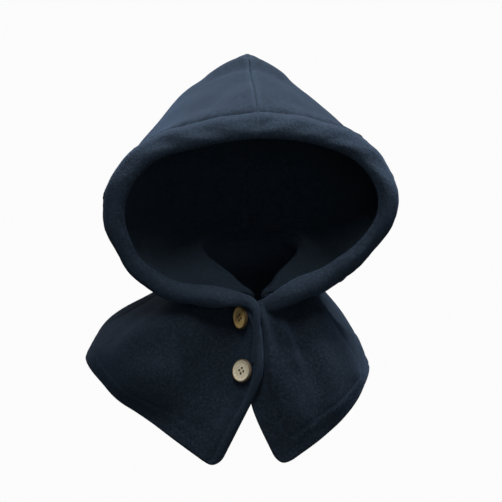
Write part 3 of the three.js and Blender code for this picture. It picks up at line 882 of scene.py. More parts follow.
@dataclass
class Hood:
    """The two-layer hood: outer and lining panels that meet at a crown and back seam, and the
    thick folded band round the face opening."""

    layer_offset: float = 0.5 * (LAYER_GAP + FLEECE)
    allowance: float = 0.025
    band_thickness: float = 12.0 * MM
    band_tuck: float = 4.0 * MM
    band_length: float = 440 * MM
    panel_height: float = 300 * MM
    panel_depth: float = 165 * MM
    grid_step: float = 2.3 * MM
    seam_width: float = 2.8 * MM
    seam_dip: float = 2.5 * MM
    foot_dip: float = 3.0 * MM
    foot_reach: float = 6 * MM
    gather_height: float = 1.7 * MM
    apex_reach: float = 11 * MM
    apex_drops: tuple[float, float] = (2.2 * MM, 4.5 * MM)
    tape_foot: float = -9 * MM
    tape_height: float = 10.5 * MM
    tape_thickness: float = 1.8 * MM
    folds: tuple[Fold, ...] = (
        Fold((-36, 60, 170), (-7, 52, 181), 8, 2.8),
        Fold((7, 49, 180), (30, 42, 171), 8, 2.6),
        Fold((-34, 40, 168), (-7, 34, 179), 9, -2.8),
        Fold((7, 32, 179), (30, 26, 169), 8, -2.4),
        Fold((14, 4, 175), (40, -24, 160), 10, 1.8),
        Fold((-12, 0, 176), (-44, -28, 158), 13, -2.0),
        Fold((-70, -34, 132), (-118, -20, 84), 22, 2.4),
        Fold((-84, -6, 112), (-116, 6, 66), 16, -2.0),
        Fold((70, -30, 132), (112, -22, 84), 22, 2.0),
        Fold((60, 10, 132), (98, 14, 88), 16, -1.8),
        Fold((-128, -28, 48), (-100, -30, 4), 14, 2.0),
        Fold((118, -28, 52), (88, -30, 6), 14, 1.8),
    )
    net: ShapeNet = field(init=False)

    def __post_init__(self) -> None:
        """Joins the two halves' nets, and carries each column on over the crown."""
        rights = MM * np.array(HOOD_RIGHT, float).transpose(1, 0, 2)
        lefts = MM * np.array(HOOD_LEFT, float).transpose(1, 0, 2)
        right_over = np.concatenate([rights, lefts[:, [CROWN_ROW - 1, CROWN_ROW - 2]]], axis=1)
        left_over = np.concatenate([lefts, rights[:, [CROWN_ROW - 1, CROWN_ROW - 2]]], axis=1)
        self.net = ShapeNet(np.concatenate([right_over, left_over[-2::-1]]), -1)

    def layout(self, c: Grid, r: Grid, side: Side) -> Layout:
        """A grid laid on one half of the hood."""
        first, last = sorted((self.rim_column(side), BACK_SEAM_COLUMN))
        return Layout(self.net.at(c, r), self.net.normal(c, r, first, last, CROWN_ROW))

    def rim_column(self, side: Side) -> int:
        """The net's column along the rim of the face opening."""
        return 0 if side is Side.RIGHT else self.net.column_span

    def apex(self) -> Grid:
        """The hood's point, where the crown seam meets the back seam."""
        return self.net.points[BACK_SEAM_COLUMN, CROWN_ROW]

    def relief(self, points: Grid) -> Grid:
        """Height of the hood's cloth, the same for every layer."""
        return relief(points, self.folds, 0.5 * MM, 11)

    @staticmethod
    def beside_seam(points: Grid, side: Side) -> Grid:
        """Keeps a half on its own side of the crown and back seam, but for the turned allowance."""
        kept = points.copy()
        kept[..., 0] = side.value * np.maximum(side.value * kept[..., 0], -0.6 * MM)
        return kept

    def panel(self, side: Side, outer: bool) -> tuple[Panel, Grid]:
        """A hood panel from the band's foot to the back seam.

        Args:
            side: which half.
            outer: the outer layer, or else the lining.

        Returns:
            The panel, and how pale each point is painted: a highlight beside the crown seam.
        """
        step = self.grid_step if outer else 1.5 * self.grid_step
        rows = (CROWN_ROW + self.allowance) * fractions(self.panel_height, step)
        rim = self.rim_column(side)
        tucked = np.array([BAND_WIDTH - self.band_tuck])
        foot = self.net.columns_at(tucked, rows, rim, BACK_SEAM_COLUMN)[0]
        start = rim + (foot - rim) * (0.25 + 0.75 * smooth_step(rows, 0.1, 1.0))
        share = fractions(self.panel_depth, step)
        past_seam = BACK_SEAM_COLUMN - side.value * self.allowance
        c = start[None] + (past_seam - start[None]) * share[:, None]
        r = np.broadcast_to(rows, c.shape)
        laid = self.layout(c, r, side)
        edges = laid.edges
        out = 1 if outer else -1
        rise = out * self.layer_offset + self.relief(laid.base)
        seams = bump(edges.from_high, self.seam_width) + bump(edges.from_last, self.seam_width)
        foot_seam = bump(edges.from_first, self.foot_reach)
        rise = rise - out * self.seam_dip * seams - out * self.foot_dip * foot_seam
        beside_foot = bump(edges.from_first - self.foot_reach, 5 * MM)
        rise = rise + self.gather_height * out * (puckers(edges.from_low, 3) * beside_foot)
        rounding = bump(np.linalg.norm(laid.base - self.apex(), axis=-1), self.apex_reach)
        name = f"hood_{'outer' if outer else 'lining'}_{side.label}"
        panel = laid.panel(name, rise * (1 - rounding), FLEECE)
        panel.middle[..., 2] -= self.apex_drops[0 if outer else 1] * rounding
        panel.middle = self.beside_seam(panel.middle, side)
        # Painted highlight: a pale line just below the crown seam, where the cloth beside the seam
        # catches the light.
        wear_and_highlight = 0.8 * bump(edges.from_high - 3.6 * MM, 2.4 * MM)
        return panel, wear_and_highlight

    def band(self, side: Side) -> tuple[Panel, Grid]:
        """Half of the folded face band: a soft roll, rounder at the rim and gathered at its seam.

        Args:
            side: which half.

        Returns:
            The band as a panel, and how pale each point is painted: highlights along its roll.
        """
        right = side is Side.RIGHT
        chin = MM * np.array(CHIN_RIGHT if right else CHIN_LEFT, float).transpose(1, 0, 2)
        columns = self.net.points if right else self.net.points[::-1]
        net = ShapeNet(np.concatenate([chin, columns[:3, 1:]], axis=1), side.value)
        crown = CROWN_ROW + len(CHIN_RIGHT) - 1
        rows = (crown + self.allowance) * fractions(self.band_length, self.grid_step, 2.4 * MM)
        share = 0.5 - 0.5 * np.cos(np.pi * np.linspace(0, 1, 25))
        narrow = 0.32 + 0.68 * smooth_step(rows, 1.3, 3.2)
        wobble = 0.035 * np.sin(CROWN_ROW * rows / 3.1) + 0.02 * np.sin(CROWN_ROW * rows)
        c = net.columns_at(BAND_WIDTH * share, rows, 0, 2) * narrow * (1 + wobble)
        r = np.broadcast_to(rows, c.shape)
        laid = Layout(net.at(c, r), net.normal(c, r, top=crown))
        edges = laid.edges
        roll = np.sqrt(np.clip(1 - np.abs(2 * share - 1) ** 2.7, 0, 1))[:, None]
        chin_taper = 0.02 + 0.48 * smooth_step(rows, 0, 1.6) + 0.50 * smooth_step(rows, 1.2, 3.1)
        ends = rounded(edges.from_high, 1.6 * MM) * rounded(edges.from_low, 5 * MM) * chin_taper
        softness = 1 + 0.06 * np.sin(2 * math.pi * edges.from_low / (63 * MM) + 0.7 * side.value)
        gathers = 1 - 0.10 * puckers(edges.from_low, 3) * (share[:, None] ** 3)
        thickness = self.band_thickness * roll * ends * softness * gathers
        thickness = thickness * (1 - 0.16 * bump(edges.from_high, 4.5 * MM))
        rise = 1.0 * MM * roll + self.relief(laid.base) * share[:, None]
        rise = rise + 0.5 * MM * np.sin(2 * math.pi * edges.from_low / (41 * MM)) * roll
        middle = self.beside_seam(laid.raised(rise), side)
        # Painted highlight: a broad pale stripe along the middle of the roll and a narrow pale line
        # near its seam with the hood, where the roll faces the light.
        rubbed_and_lit = 0.8 * bump(share[:, None] - 0.35, 0.3) + 0.8 * bump(share[:, None] - 0.8, 0.12)
        wear_and_highlight = rubbed_and_lit * np.ones_like(rise)
        return Panel(f"face_band_{side.label}", middle, laid.normals, thickness), wear_and_highlight

    def build(self, wardrobe: Wardrobe) -> None:
        for side in Side:
            for outer in (True, False):
                panel, wear_and_highlight = self.panel(side, outer)
                piece = panel.build(wear_and_highlight if outer else None)
                wardrobe.fit_out(piece, OUTER_FLEECE if outer else LINING_FLEECE, None, panel.name)
                declare_cloth(piece, panel)
            band, wear_and_highlight = self.band(side)
            piece = band.build(wear_and_highlight)
            wardrobe.fit_out(piece, BAND_FLEECE, None, band.name)
            LOG.info("%s: roll %.1f mm thick", piece.name, band.thickness.max() / MM)

    def neck_tape(self) -> Panel:
        """The tape inside the neck seam: a strip upright along row 0, from front to front."""
        c = np.linspace(0.3, self.net.column_span - 0.3, 151)
        share = fractions(10 * MM, 1.4 * MM, 1.2 * MM, 4)
        line = self.net.at(c, np.zeros_like(c))
        way = np.gradient(line, axis=0)
        inward = np.stack([way[:, 1], -way[:, 0], np.zeros(len(c))], axis=-1)
        inward /= np.linalg.norm(inward, axis=-1, keepdims=True)
        height = (self.tape_foot + self.tape_height * share)[None, :, None] * np.array([0, 0, 1.0])
        base = line[:, None] + 1.0 * MM * inward[:, None] + height
        laid = Layout(base, np.broadcast_to(inward[:, None], base.shape))
        return laid.panel("neck_tape", np.zeros(base.shape[:2]), self.tape_thickness)


# ------------------------------------------------------------------------------ cape


@dataclass
class Cape:
    """The cape: two pointed fronts, the right one on top, and a back, with hems and facings."""

    grid_step: float = 2.2 * MM
    roll_radius: float = 2.6 * MM
    placket_radius: float = 4.2 * MM
    front_width: float = 165 * MM
    front_drop: float = 170 * MM
    back_width: float = 300 * MM
    back_drop: float = 150 * MM
    seam_dip: float = 1.2 * MM
    folds: tuple[Fold, ...] = (
        Fold((-34, -56, -34), (-84, -52, -42), 10, -5.0),
        Fold((-22, -66, -40), (-36, -80, -96), 9, -2.6),
        Fold((-54, -66, -50), (-112, -62, -92), 15, 2.6),
        Fold((-48, -74, -84), (-92, -80, -130), 13, -1.8),
        Fold((-96, -36, -34), (-128, -34, -64), 12, -2.2),
        Fold((22, -74, -40), (34, -80, -76), 6, 2.6),
        Fold((32, -70, -40), (54, -76, -100), 8, -2.6),
        Fold((60, -52, -42), (88, -54, -92), 12, 2.4),
        Fold((76, -36, -48), (98, -36, -84), 9, -2.2),
        Fold((-96, 40, -50), (-138, 44, -92), 16, 2.4),
        Fold((-40, 96, -44), (-52, 122, -100), 16, -2.2),
        Fold((30, 92, -40), (44, 112, -100), 15, 2.2),
        Fold((74, 30, -58), (106, 30, -98), 14, -2.0),
    )
    net: ShapeNet = field(init=False)

    def __post_init__(self) -> None:
        """Adds the under front's last two columns, which lie behind the buttoned edge."""
        columns = MM * np.array(CAPE_COLUMNS, float)
        over = ShapeNet(columns, 1)
        rows = np.arange(BUTTONED_ROWS, dtype=float)
        behind = []
        for distance, lower in ((0.0, LEFT_FOLD_LOWER), (UNDERLAP, LEFT_EDGE_LOWER)):
            c = over.columns_at(np.array([distance]), rows, 0, RIGHT_SEAM_COLUMN)[0]
            hidden = over.at(c, rows) - UNDERLAP_DEPTH * over.normal(c, rows)
            behind.append(np.concatenate([hidden, MM * np.array(lower, float)]))
        self.net = ShapeNet(np.concatenate([columns, np.stack(behind)]), 1)

    def layout(self, c: Grid, r: Grid) -> tuple[Layout, Grid]:
        """A grid laid on the cape, and the height of its cloth's relief."""
        laid = Layout(self.net.at(c, r), self.net.normal(c, r))
        return laid, relief(laid.base, self.folds, 0.42 * MM, 5)

    def edge_and_seam(self, side: Side) -> tuple[int, int]:
        """The net's columns of a front's free edge and of its shoulder seam."""
        if side is Side.RIGHT:
            return 0, RIGHT_SEAM_COLUMN
        return self.net.column_span, LEFT_SEAM_COLUMN

    def round_tip(self, c: Grid, r: Grid, edge: int, seam: int) -> tuple[Grid, Grid]:
        """Bends the square corner where a front edge meets the hem to an arc.

        Args:
            c: columns.
            r: rows.
            edge: the front edge's column.
            seam: the shoulder seam's column.

        Returns:
            The bent columns and rows.
        """
        inward = np.sign(seam - edge)
        hem = np.full_like(r, HEM_ROW)
        front = np.full_like(c, edge)
        per_column = np.linalg.norm(self.net.at(front, r) - self.net.at(front + inward, r), axis=-1)
        per_row = np.linalg.norm(self.net.at(c, hem) - self.net.at(c, hem - 1), axis=-1)
        x = 1 - np.clip(np.abs(c - edge) * per_column / TIP_RADIUS, 0, 1)
        y = 1 - np.clip((HEM_ROW - r) * per_row / TIP_RADIUS, 0, 1)
        both = (x > 0) & (y > 0)
        bent_c = edge + inward * TIP_RADIUS * (1 - x * np.sqrt(1 - y * y / 2)) / per_column
        bent_r = HEM_ROW - TIP_RADIUS * (1 - y * np.sqrt(1 - x * x / 2)) / per_row
        return np.where(both, bent_c, c), np.where(both, bent_r, r)

    def edge_roll(self, distance: Grid, radius: float) -> Grid:
        """How far a turned edge curls inwards: a quarter circle of that radius."""
        return -radius * (1 - rounded(distance, radius))

    def hem_line(self, distance: Grid) -> Grid:
        """The pressed line where the turned-in layer ends, and the step up to the double cloth."""
        line = -0.5 * MM * bump(distance - HEM_WIDTH, 1.7 * MM)
        return line + 0.5 * MM * (1 - smooth_step(distance, 0.9 * HEM_WIDTH, HEM_WIDTH))

    def front(self, side: Side) -> tuple[Panel, Grid]:
        """A front from its free edge to the shoulder seam and from the neck seam to the hem.

        Args:
            side: which front.

        Returns:
            The panel, and how rubbed each point is.
        """
        edge, seam = self.edge_and_seam(side)
        share = fractions(self.front_width, self.grid_step)
        rows = HEM_ROW * fractions(self.front_drop, self.grid_step)
        c, r = np.meshgrid(edge + (seam - edge) * share, rows, indexing="ij")
        c, r = self.round_tip(c, r, edge, seam)
        laid, rise = self.layout(c, r)
        edges = laid.edges
        free = np.minimum(edges.from_first, edges.from_high)
        rise = rise + self.hem_line(free)
        front_roll = self.placket_radius if side is Side.RIGHT else self.roll_radius
        rise = rise + self.edge_roll(edges.from_first, front_roll)
        rise = rise + self.edge_roll(edges.from_high, self.roll_radius)
        if side is Side.RIGHT:
            rise = rise + 1.1 * MM * bump(edges.from_first - 4 * MM, 3 * MM)
            rise = rise - 0.9 * MM * bump(edges.from_first - 9.5 * MM, 2.4 * MM)
        rise = rise - self.seam_dip * bump(edges.from_last, 3 * MM)
        plump = 1 + 0.55 * bump(free - 3 * MM, 5 * MM)
        wear_and_highlight = 0.9 * bump(free - 1 * MM, 3 * MM) + 0.2 * bump(free - 18 * MM, 4 * MM)
        return laid.panel(f"cape_front_{side.label}", rise, FLEECE, plump), wear_and_highlight

    def back(self) -> tuple[Panel, Grid]:
        """The back, from shoulder seam to shoulder seam.

        Returns:
            The panel, and how rubbed each point is.
        """
        share = fractions(self.back_width, 1.4 * self.grid_step)
        rows = HEM_ROW * fractions(self.back_drop, 1.2 * self.grid_step)
        columns = RIGHT_SEAM_COLUMN + (LEFT_SEAM_COLUMN - RIGHT_SEAM_COLUMN) * share
        c, r = np.meshgrid(columns, rows, indexing="ij")
        laid, rise = self.layout(c, r)
        edges = laid.edges
        seams = bump(edges.from_first, 3 * MM) + bump(edges.from_last, 3 * MM)
        rise = rise + self.hem_line(edges.from_high)
        rise = rise + self.edge_roll(edges.from_high, self.roll_radius) - self.seam_dip * seams
        plump = 1 + 0.55 * bump(edges.from_high - 3 * MM, 5 * MM)
        wear_and_highlight = 0.9 * bump(edges.from_high - 1 * MM, 3 * MM)
        return laid.panel("cape_back", rise, FLEECE, plump), wear_and_highlight

    def inner_strip(self, name: str, c: Grid, r: Grid, gap: float) -> Panel:
        """A thin layer that lies inside the cape cloth.

        Args:
            name: the piece's name.
            c: its columns.
            r: its rows.
            gap: clearance from the cloth that it backs.

        Returns:
            The strip as a panel.
        """
        laid, rise = self.layout(c, r)
        return laid.panel(name, rise - 0.5 * FLEECE - gap - 0.5 * FACING, FACING)

    def facing(self, side: Side) -> Panel:
        """The facing behind the buttons or the buttonholes."""
        edge, seam = self.edge_and_seam(side)
        share = fractions(33 * MM, 2.6 * MM, 2 * MM, 4)
        inset = FACING_SET_BACK + (FACING_WIDTH - FACING_SET_BACK) * share
        foot_column = self.net.column_at(0.5 * FACING_WIDTH, HEM_ROW - 0.5, edge, seam)[0]
        foot = float(self.net.rows_above(np.array([HEM_WIDTH + 3 * MM]), foot_column)[0, 0])
        rows = 0.3 + (foot - 0.3) * fractions(130 * MM, 2.6 * MM, 2 * MM, 4)
        c = self.net.columns_at(inset, rows, edge, seam)
        r = np.broadcast_to(rows, c.shape).copy()
        return self.inner_strip(f"front_facing_{side.label}", c, r, LAYER_GAP)

    def hem(self, name: str, first: float, last: float, edge: int | None) -> Panel:
        """A turned-in hem along the lower edge.

        Args:
            name: the piece's name.
            first: its first column.
            last: its last column.
            edge: the column of the free edge whose tip it follows round, if any.

        Returns:
            The hem as a panel.
        """
        columns = first + (last - first) * fractions(180 * MM, 3 * MM, 2 * MM, 4)
        up = HEM_WIDTH + (FACING_SET_BACK - HEM_WIDTH) * fractions(21 * MM, 2.6 * MM, 2 * MM, 4)
        r = self.net.rows_above(up, columns)
        c = np.broadcast_to(columns[:, None], r.shape).copy()
        if edge is not None:
            c, r = self.round_tip(c, r, edge, round(last))
        return self.inner_strip(name, c, r, HEM_GAP)

    def build(self, wardrobe: Wardrobe) -> None:
        for side in Side:
            panel, wear_and_highlight = self.front(side)
            hang(wardrobe, panel, OUTER_FLEECE, None, wear_and_highlight)
            hang(wardrobe, self.facing(side), FACING_FLEECE, None)
            edge, seam = self.edge_and_seam(side)
            start = self.net.column_at(2 * FACING_SET_BACK, HEM_ROW - 0.1, edge, seam)[0, 0]
            hang(wardrobe, self.hem(f"hem_{side.label}", start, seam, edge), FACING_FLEECE, "cape")
        panel, wear_and_highlight = self.back()
        hang(wardrobe, panel, OUTER_FLEECE, None, wear_and_highlight)
        hem = self.hem("hem_back", RIGHT_SEAM_COLUMN, LEFT_SEAM_COLUMN, None)
        hang(wardrobe, hem, FACING_FLEECE, "cape")


# ------------------------------------------------------------------------------ closure


def turned(radii: Grid, heights: Grid, sides: int) -> tuple[Grid, list[Grid]]:
    """A closed body of revolution about +Z, with one pole point at each end of its profile.

    Args:
        radii: the profile's radii, with 0 first and last.
        heights: the profile's heights.
        sides: how many points there are round it.

    Returns:
        Its vertices, and its faces as quads and triangles.
    """
    turn = 2 * math.pi * np.arange(sides) / sides
    ring = np.stack([np.cos(turn), np.sin(turn)], axis=-1)
    levels = np.broadcast_to(heights[1:-1, None, None], (len(radii) - 2, sides, 1))
    rings = np.concatenate([radii[1:-1, None, None] * ring, levels], axis=-1)
    points = np.concatenate([[[0, 0, heights[0]]], rings.reshape(-1, 3), [[0, 0, heights[-1]]]])
    ids = 1 + np.arange(rings[..., 0].size).reshape(-1, sides)
    loop = np.concatenate([ids, ids[:, :1]], axis=1)
    low = np.stack([np.zeros(sides, int), loop[0, :-1], loop[0, 1:]], axis=-1)
    high = np.stack([np.full(sides, len(points) - 1), loop[-1, 1:], loop[-1, :-1]], axis=-1)
    return points, [grid_quads(loop), np.concatenate([low, high])]


def strands(starts: Grid, ends: Grid, radius: float, sides: int = 8) -> tuple[Grid, list[Grid]]:
    """Many round-ended strands as one mesh: a capsule profile carried from start to end of each.

    Args:
        starts: start points.
        ends: end points.
        radius: their radius.
        sides: how many points there are round each.

    Returns:
        Vertices and faces.
    """
    cap = np.linspace(-0.5 * math.pi, 0, 4)
    shape = np.concatenate([np.cos(cap), np.cos(cap[::-1])])
    shape[[0, -1]] = 0
    rise = radius * np.concatenate([1 + np.sin(cap), -1 - np.sin(cap[::-1])])
    share = np.repeat([0.0, 1.0], 4)
    unit, faces = turned(radius * shape, share, sides)
    level = np.repeat(np.arange(len(shape))[1:-1], sides)
    lift = np.concatenate([[rise[0]], rise[level], [rise[-1]]])
    way = ends - starts
    length = np.linalg.norm(way, axis=-1, keepdims=True)
    along = way / length
    helper = np.where(np.abs(along[:, 2:]) > 0.9, [[1.0, 0, 0]], [[0, 0, 1.0]])
    side = np.cross(helper, along)
    side /= np.linalg.norm(side, axis=-1, keepdims=True)
    other = np.cross(along, side)
    reach = unit[None, :, 2:] * length[:, None] + lift[None, :, None]
    points = starts[:, None] + unit[None, :, :1] * side[:, None]
    points = points + unit[None, :, 1:2] * other[:, None] + reach * along[:, None]
    offsets = len(unit) * np.arange(len(starts))[:, None, None]
    copied = [(group[None] + offsets).reshape(-1, group.shape[1]) for group in faces]
    return points.reshape(-1, 3), copied


@dataclass
class Closure:
    """Two turned wooden buttons with their thread, buttonholes and stays."""

    cape: Cape
    diameter: float = 22 * MM
    thick: float = 3.4 * MM
    rim: float = 2.4 * MM
    dish: float = 0.7 * MM
    hole_radius: float = 1.15 * MM
    hole_spread: float = 2.5 * MM
    from_edge: float = 18.5 * MM
    rows: tuple[float, float] = (1.5, 3.04)
    slit: tuple[float, float] = (2.6 * MM, 20 * MM)
    stay_side: float = 13 * MM
    stay_thickness: float = 1.2 * MM

    def seat(self, row: float) -> Matrix:
        """Where a button sits: the cloth's point, with +Z out of it and +Y up along it."""
        c = self.cape.net.column_at(self.from_edge, row, 0, RIGHT_SEAM_COLUMN)
        r = np.full_like(c, row)
        out = Vector(self.cape.net.normal(c, r)[0, 0])
        up = (Vector((0, 0, 1)) - out.z * out).normalized()
        turn = Matrix((up.cross(out), up, out)).transposed().to_4x4()
        return Matrix.Translation(Vector(self.cape.net.at(c, r)[0, 0])) @ turn

    @staticmethod
    def lift(label: str, seat: Matrix) -> float:
        """How far the design's button stands off its seat: its lowest point along the seat's +Z."""
        to_seat = seat.inverted()
        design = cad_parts[f"button_{label}"].data
        return min((to_seat @ vertex.co).z for vertex in design.vertices)

    def button(self, label: str, seat: Matrix) -> Piece:
        """A button: a turned disc with a raised rim, a dished middle and four drilled holes.

        Args:
            label: upper or lower.
            seat: its place.

        Returns:
            The object.
        """
        lift = self.lift(label, seat)
        radius, top = 0.5 * self.diameter, lift + self.thick
        quarter = np.linspace(0, 0.5 * math.pi, 7)
        under_round, rim_round = 1.3 * MM, 0.95 * MM
        slope = np.linspace(0, 1, 9)
        dished = top - self.dish * smooth_step(slope, 0, 1)
        radii = np.concatenate([
            [0, 0.5 * radius], radius - under_round * (1 - np.sin(quarter)),
            radius - rim_round * (1 - np.cos(quarter)),
            radius - self.rim + 0.5 * MM - 1.6 * MM * slope, [0.45 * radius, 0.2 * radius, 0]])
        heights = np.concatenate([
            [lift, lift], lift + under_round * (1 - np.cos(quarter)),
            top - rim_round * (1 - np.sin(quarter)), dished, np.full(3, top - self.dish)])
        points, faces = turned(radii, heights, 96)
        disc = mesh_object(f"button_{label}_turned", points, faces)
        cutters = [self.drill(k, lift) for k in range(4)]
        for cutter in cutters:
            cut = disc.modifiers.new("hole", "BOOLEAN")
            cut.operation, cut.solver, cut.object = "DIFFERENCE", "EXACT", cutter
        drilled = disc.evaluated_get(bpy.context.evaluated_depsgraph_get())
        shape = bpy.data.meshes.new_from_object(drilled)
        disc.modifiers.clear()
        disc.data = shape
        for cutter in cutters:
            bpy.data.objects.remove(cutter)
        disc.data.set_sharp_from_angle(angle=math.radians(40))
        self.mark_rim_and_hole_shade(disc)
        disc.data.transform(seat)
        return disc

    def drill(self, k: int, lift: float) -> Piece:
        """A round cutter through hole k of the diamond, for a button at that lift."""
        turn = 0.5 * math.pi * k
        across = np.array([math.cos(turn), math.sin(turn), 0]) * self.hole_spread
        radii = self.hole_radius * np.array([0, 1, 1, 0.0])
        heights = lift + MM * np.array([-1, -1, 5, 5])
        points, faces = turned(radii, heights, 28)
        return mesh_object(f"drill_{k}", points + across, faces)

    def mark_rim_and_hole_shade(self, disc: Piece) -> None:
        """Marks two attributes: rim rises to 1 at the edge, and hole is 1 on the holes' walls,
        where shade is painted.
        """
        mesh = disc.data
        points = np.empty(3 * len(mesh.vertices), np.float32)
        mesh.vertices.foreach_get("co", points)
        radius = np.linalg.norm(points.reshape(-1, 3)[:, :2], axis=-1)
        rim = smooth_step(radius, 0.5 * self.diameter - 1.9 * MM, 0.5 * self.diameter - 0.7 * MM)
        centres, normals = np.empty((2, 3 * len(mesh.polygons)), np.float32)
        mesh.polygons.foreach_get("center", centres)
        mesh.polygons.foreach_get("normal", normals)
        inner = np.linalg.norm(centres.reshape(-1, 3)[:, :2], axis=-1) < 0.3 * self.diameter
        hole = inner & (np.abs(normals[2::3]) < 0.3)
        for name, domain, values in (("rim", "POINT", rim), ("hole", "FACE", hole)):
            marked = mesh.attributes.new(name, "FLOAT", domain)
            marked.data.foreach_set("value", values.astype(np.float32))

    def sewing(self, label: str, seat: Matrix) -> Piece:
        """The thread: a strand up each hole, two bars across underneath and a wound shank below."""
        radius = 0.42 * MM
        lift = self.lift(label, seat)
        under, over = lift - 0.5 * MM, lift + self.thick - self.dish
        turn = 0.5 * math.pi * np.arange(4)
        holes = self.hole_spread * np.stack([np.cos(turn), np.sin(turn)], axis=-1)
        feet = np.concatenate([holes, np.full((4, 1), under)], axis=1)
        heads = np.concatenate([holes, np.full((4, 1), over - 0.5 * MM)], axis=1)
        winding = np.linspace(0, 2 * math.pi, 11)[:-1]
        shank = 0.7 * MM * np.stack([np.cos(winding), np.sin(winding)], axis=-1)
        shank_top = np.concatenate([shank, np.full((10, 1), under)], axis=1)
        foot_level = np.full((10, 1), -UNDERLAP_DEPTH + 0.5 * FLEECE)
        shank_foot = np.concatenate([shank, foot_level], axis=1)
        starts = np.concatenate([feet, shank_foot, feet[[0, 1]]])
        ends = np.concatenate([heads, shank_top, feet[[2, 3]]])
        points, faces = strands(starts, ends, radius)
        piece = mesh_object(f"button_thread_{label}_sewn", points, faces)
        piece.data.transform(seat)
        return piece

    def buttonhole(self, label: str, seat: Matrix) -> Piece:
        """A bound buttonhole: close stitches set square to a long slot with round ends.

        Half the slot is one straight side and one half circle, and the other half is the same
        turned about the middle.
        """
        stitches_each_half = 48
        width, length = self.slit
        half, straight = 0.5 * width, length - width
        walk = (straight + math.pi * half) * np.arange(stitches_each_half) / stitches_each_half
        turn = np.maximum(walk - straight, 0) / half
        slide = np.minimum(walk, straight) - 0.5 * straight
        out = np.stack([np.cos(turn), np.sin(turn)], axis=-1)
        at = half * out + np.stack([np.zeros_like(slide), slide], axis=-1)
        out, at = np.concatenate([out, -out]), np.concatenate([at, -at])
        level = np.full((len(at), 1), 0.5 * FLEECE + 0.25 * MM)
        starts = np.concatenate([at - 0.3 * MM * out, level], axis=1)
        ends = np.concatenate([at + 1.5 * MM * out, level], axis=1)
        points, faces = strands(starts, ends, 0.32 * MM, 6)
        piece = mesh_object(f"buttonhole_{label}_bound", points, faces)
        piece.data.transform(seat)
        return piece

    def stay(self, label: str, seat: Matrix) -> Panel:
        """The square of cloth that backs a button's sewing behind the under front."""
        share = fractions(self.stay_side, 1 * MM, 1 * MM, 4)
        reach = self.stay_side * (share - 0.5)
        x, y = np.meshgrid(reach, reach, indexing="ij")
        level = -UNDERLAP_DEPTH - 0.5 * FLEECE - LAYER_GAP - FACING - 1.8 * MM
        flat = np.stack([x, y, np.full_like(x, level)], axis=-1)
        turn = np.array(seat.to_3x3())
        base = flat @ turn.T + np.array(seat.translation)
        laid = Layout(base, np.broadcast_to(turn[:, 2], base.shape))
        return laid.panel(f"button_stay_{label}", np.zeros_like(x), self.stay_thickness)

    def build(self, wardrobe: Wardrobe) -> None:
        # The upper button takes the wood copy that is darker and warmer as painted shade.
        for label, row, wood in zip(("upper", "lower"), self.rows, (SHADED_UPPER_WOOD, LOWER_WOOD)):
            seat = self.seat(row)
            made = (
                (self.button(label, seat), "button", wood, f"{label}_button"),
                (self.sewing(label, seat), "button_thread", PALE_THREAD, f"{label}_button"),
                (self.buttonhole(label, seat), "buttonhole", NAVY_THREAD, "cape"),
            )
            for piece, kind, finish, body in made:
                wardrobe.fit_out(piece, finish, body, f"{kind}_{label}")
                LOG.info("%s: %d faces on %s", piece.name, len(piece.data.polygons), body)
            hang(wardrobe, self.stay(label, seat), FACING_FLEECE, "cape")


# ------------------------------------------------------------------------------ studio


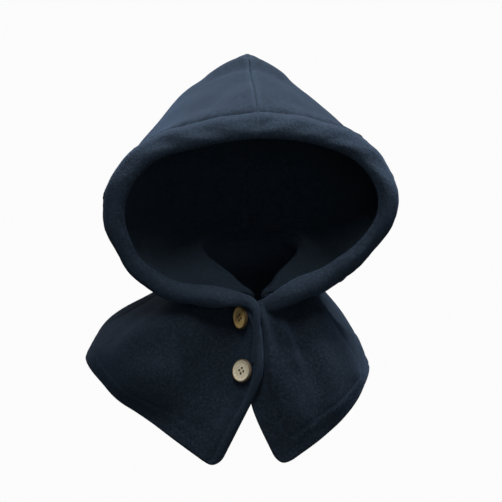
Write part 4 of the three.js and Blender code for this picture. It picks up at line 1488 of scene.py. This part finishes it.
@dataclass
class Studio:
    """A plain pale floor and backdrop, soft light from above, and a long lens."""

    azimuth: float = math.radians(-4)
    elevation: float = math.radians(15)
    distance: float = 5.0
    frame_width: float = 0.4739
    centre_right: float = -1.9 * MM
    centre_up: float = 10.4 * MM
    sensor: float = 36.0

    def aim(self) -> tuple[Vector, Vector, Vector]:
        """The camera's right, up and back directions."""
        a, e = self.azimuth, self.elevation
        right = Vector((math.cos(a), math.sin(a), 0))
        back = Vector((math.sin(a) * math.cos(e), -math.cos(a) * math.cos(e), math.sin(e)))
        return right, back.cross(right), back

    def camera(self) -> None:
        """Sets the camera square on to the middle of the view."""
        right, up, back = self.aim()
        lens = bpy.data.cameras.new("camera")
        lens.sensor_width = self.sensor
        lens.lens = self.sensor * self.distance / self.frame_width
        lens.clip_end = 60
        holder = bpy.data.objects.new("camera", lens)
        target = self.centre_right * right + self.centre_up * up
        turn = Matrix((right, up, back)).transposed().to_4x4()
        holder.matrix_world = Matrix.Translation(target + self.distance * back) @ turn
        bpy.context.scene.collection.objects.link(holder)
        bpy.context.scene.camera = holder

    @staticmethod
    def lamp(name: str, place: tuple, size: float, power: float, colour: tuple) -> None:
        """A square soft light that faces the object.

        Args:
            name: its name.
            place: where it stands, in metres.
            size: the length of its side.
            power: its power in watts.
            colour: its colour.
        """
        light = bpy.data.lights.new(name, "AREA")
        light.size, light.energy, light.color = size, power, colour
        holder = bpy.data.objects.new(name, light)
        holder.location = place
        holder.rotation_euler = Vector(place).to_track_quat("Z", "Y").to_euler()
        bpy.context.scene.collection.objects.link(holder)

    @staticmethod
    def glowing(name: str, colour: tuple, strength: float) -> bpy.types.Material:
        """An even pale glow that needs no light on it."""
        sheet = NodeSheet.blank(name)
        glow = sheet.add("ShaderNodeEmission", Color=(*colour, 1), Strength=strength)
        output = sheet.add("ShaderNodeOutputMaterial")
        sheet.link(glow.outputs["Emission"], output.inputs["Surface"])
        return sheet.material

    def surroundings(self) -> None:
        """The floor just under the lowest point, and a far backdrop all round."""
        floor_height = CAD_BOX[0][2] - 4 * MM
        reach, backdrop_radius = 14.0, 20.0
        square = [[-reach, -reach], [reach, -reach], [reach, reach], [-reach, reach]]
        corners = np.concatenate([square, np.full((4, 1), floor_height)], axis=1)
        slab = np.concatenate([corners, corners - [0, 0, 0.02]])
        sides = [[0, 1, 2, 3], [7, 6, 5, 4], [0, 4, 5, 1], [1, 5, 6, 2], [2, 6, 7, 3], [3, 7, 4, 0]]
        floor = mesh_object("floor", slab, [np.array(sides)])
        dress(floor, self.glowing("floor_pale", (0.97, 0.97, 0.97), 1.0))
        turn = np.linspace(0, math.pi, 25)
        radii = np.where(np.isin(turn, [0, math.pi]), 0, backdrop_radius * np.sin(turn))
        points, faces = turned(radii, -backdrop_radius * np.cos(turn), 48)
        backdrop = mesh_object("backdrop", points, faces)
        dress(backdrop, self.glowing("backdrop_pale", (1.0, 1.0, 1.0), 1.0))
        for shell in (floor, backdrop):
            shell.visible_diffuse = False
            shell.visible_glossy = False
            shell.visible_shadow = False

    def build(self) -> None:
        """Sets up the camera, the light and the surroundings."""
        scene = bpy.context.scene
        scene.view_settings.view_transform = "Standard"
        world = bpy.data.worlds.new("studio")
        world.use_nodes = True
        world.node_tree.nodes["Background"].inputs["Color"].default_value = (0.8, 0.9, 1.0, 1)
        world.node_tree.nodes["Background"].inputs["Strength"].default_value = 0.05
        scene.world = world
        self.camera()
        self.surroundings()
        self.lamp("key_from_above", (0.42, 0.10, 1.62), 0.6, 49, (0.93, 0.97, 1.0))
        self.lamp("soft_front", (-0.25, -1.10, 1.80), 1.0, 19, (0.95, 0.98, 1.0))
        self.lamp("face_fill", (0.30, -2.60, 0.55), 1.2, 8, (0.92, 0.97, 1.0))
        self.lamp("back_fill", (-1.2, 2.2, 1.0), 1.4, 13, (1.0, 1.0, 1.0))


def main() -> None:
    """Builds the studio, the hood, the cape and the closure in order."""
    logging.basicConfig(level=logging.INFO, format="%(name)s: %(message)s")
    wardrobe = Wardrobe()
    Studio().build()
    hood = Hood()
    hood.build(wardrobe)
    cape = Cape()
    cape.build(wardrobe)
    hang(wardrobe, hood.neck_tape(), FACING_FLEECE, None)
    Closure(cape).build(wardrobe)


if __name__ == "__main__":
    main()
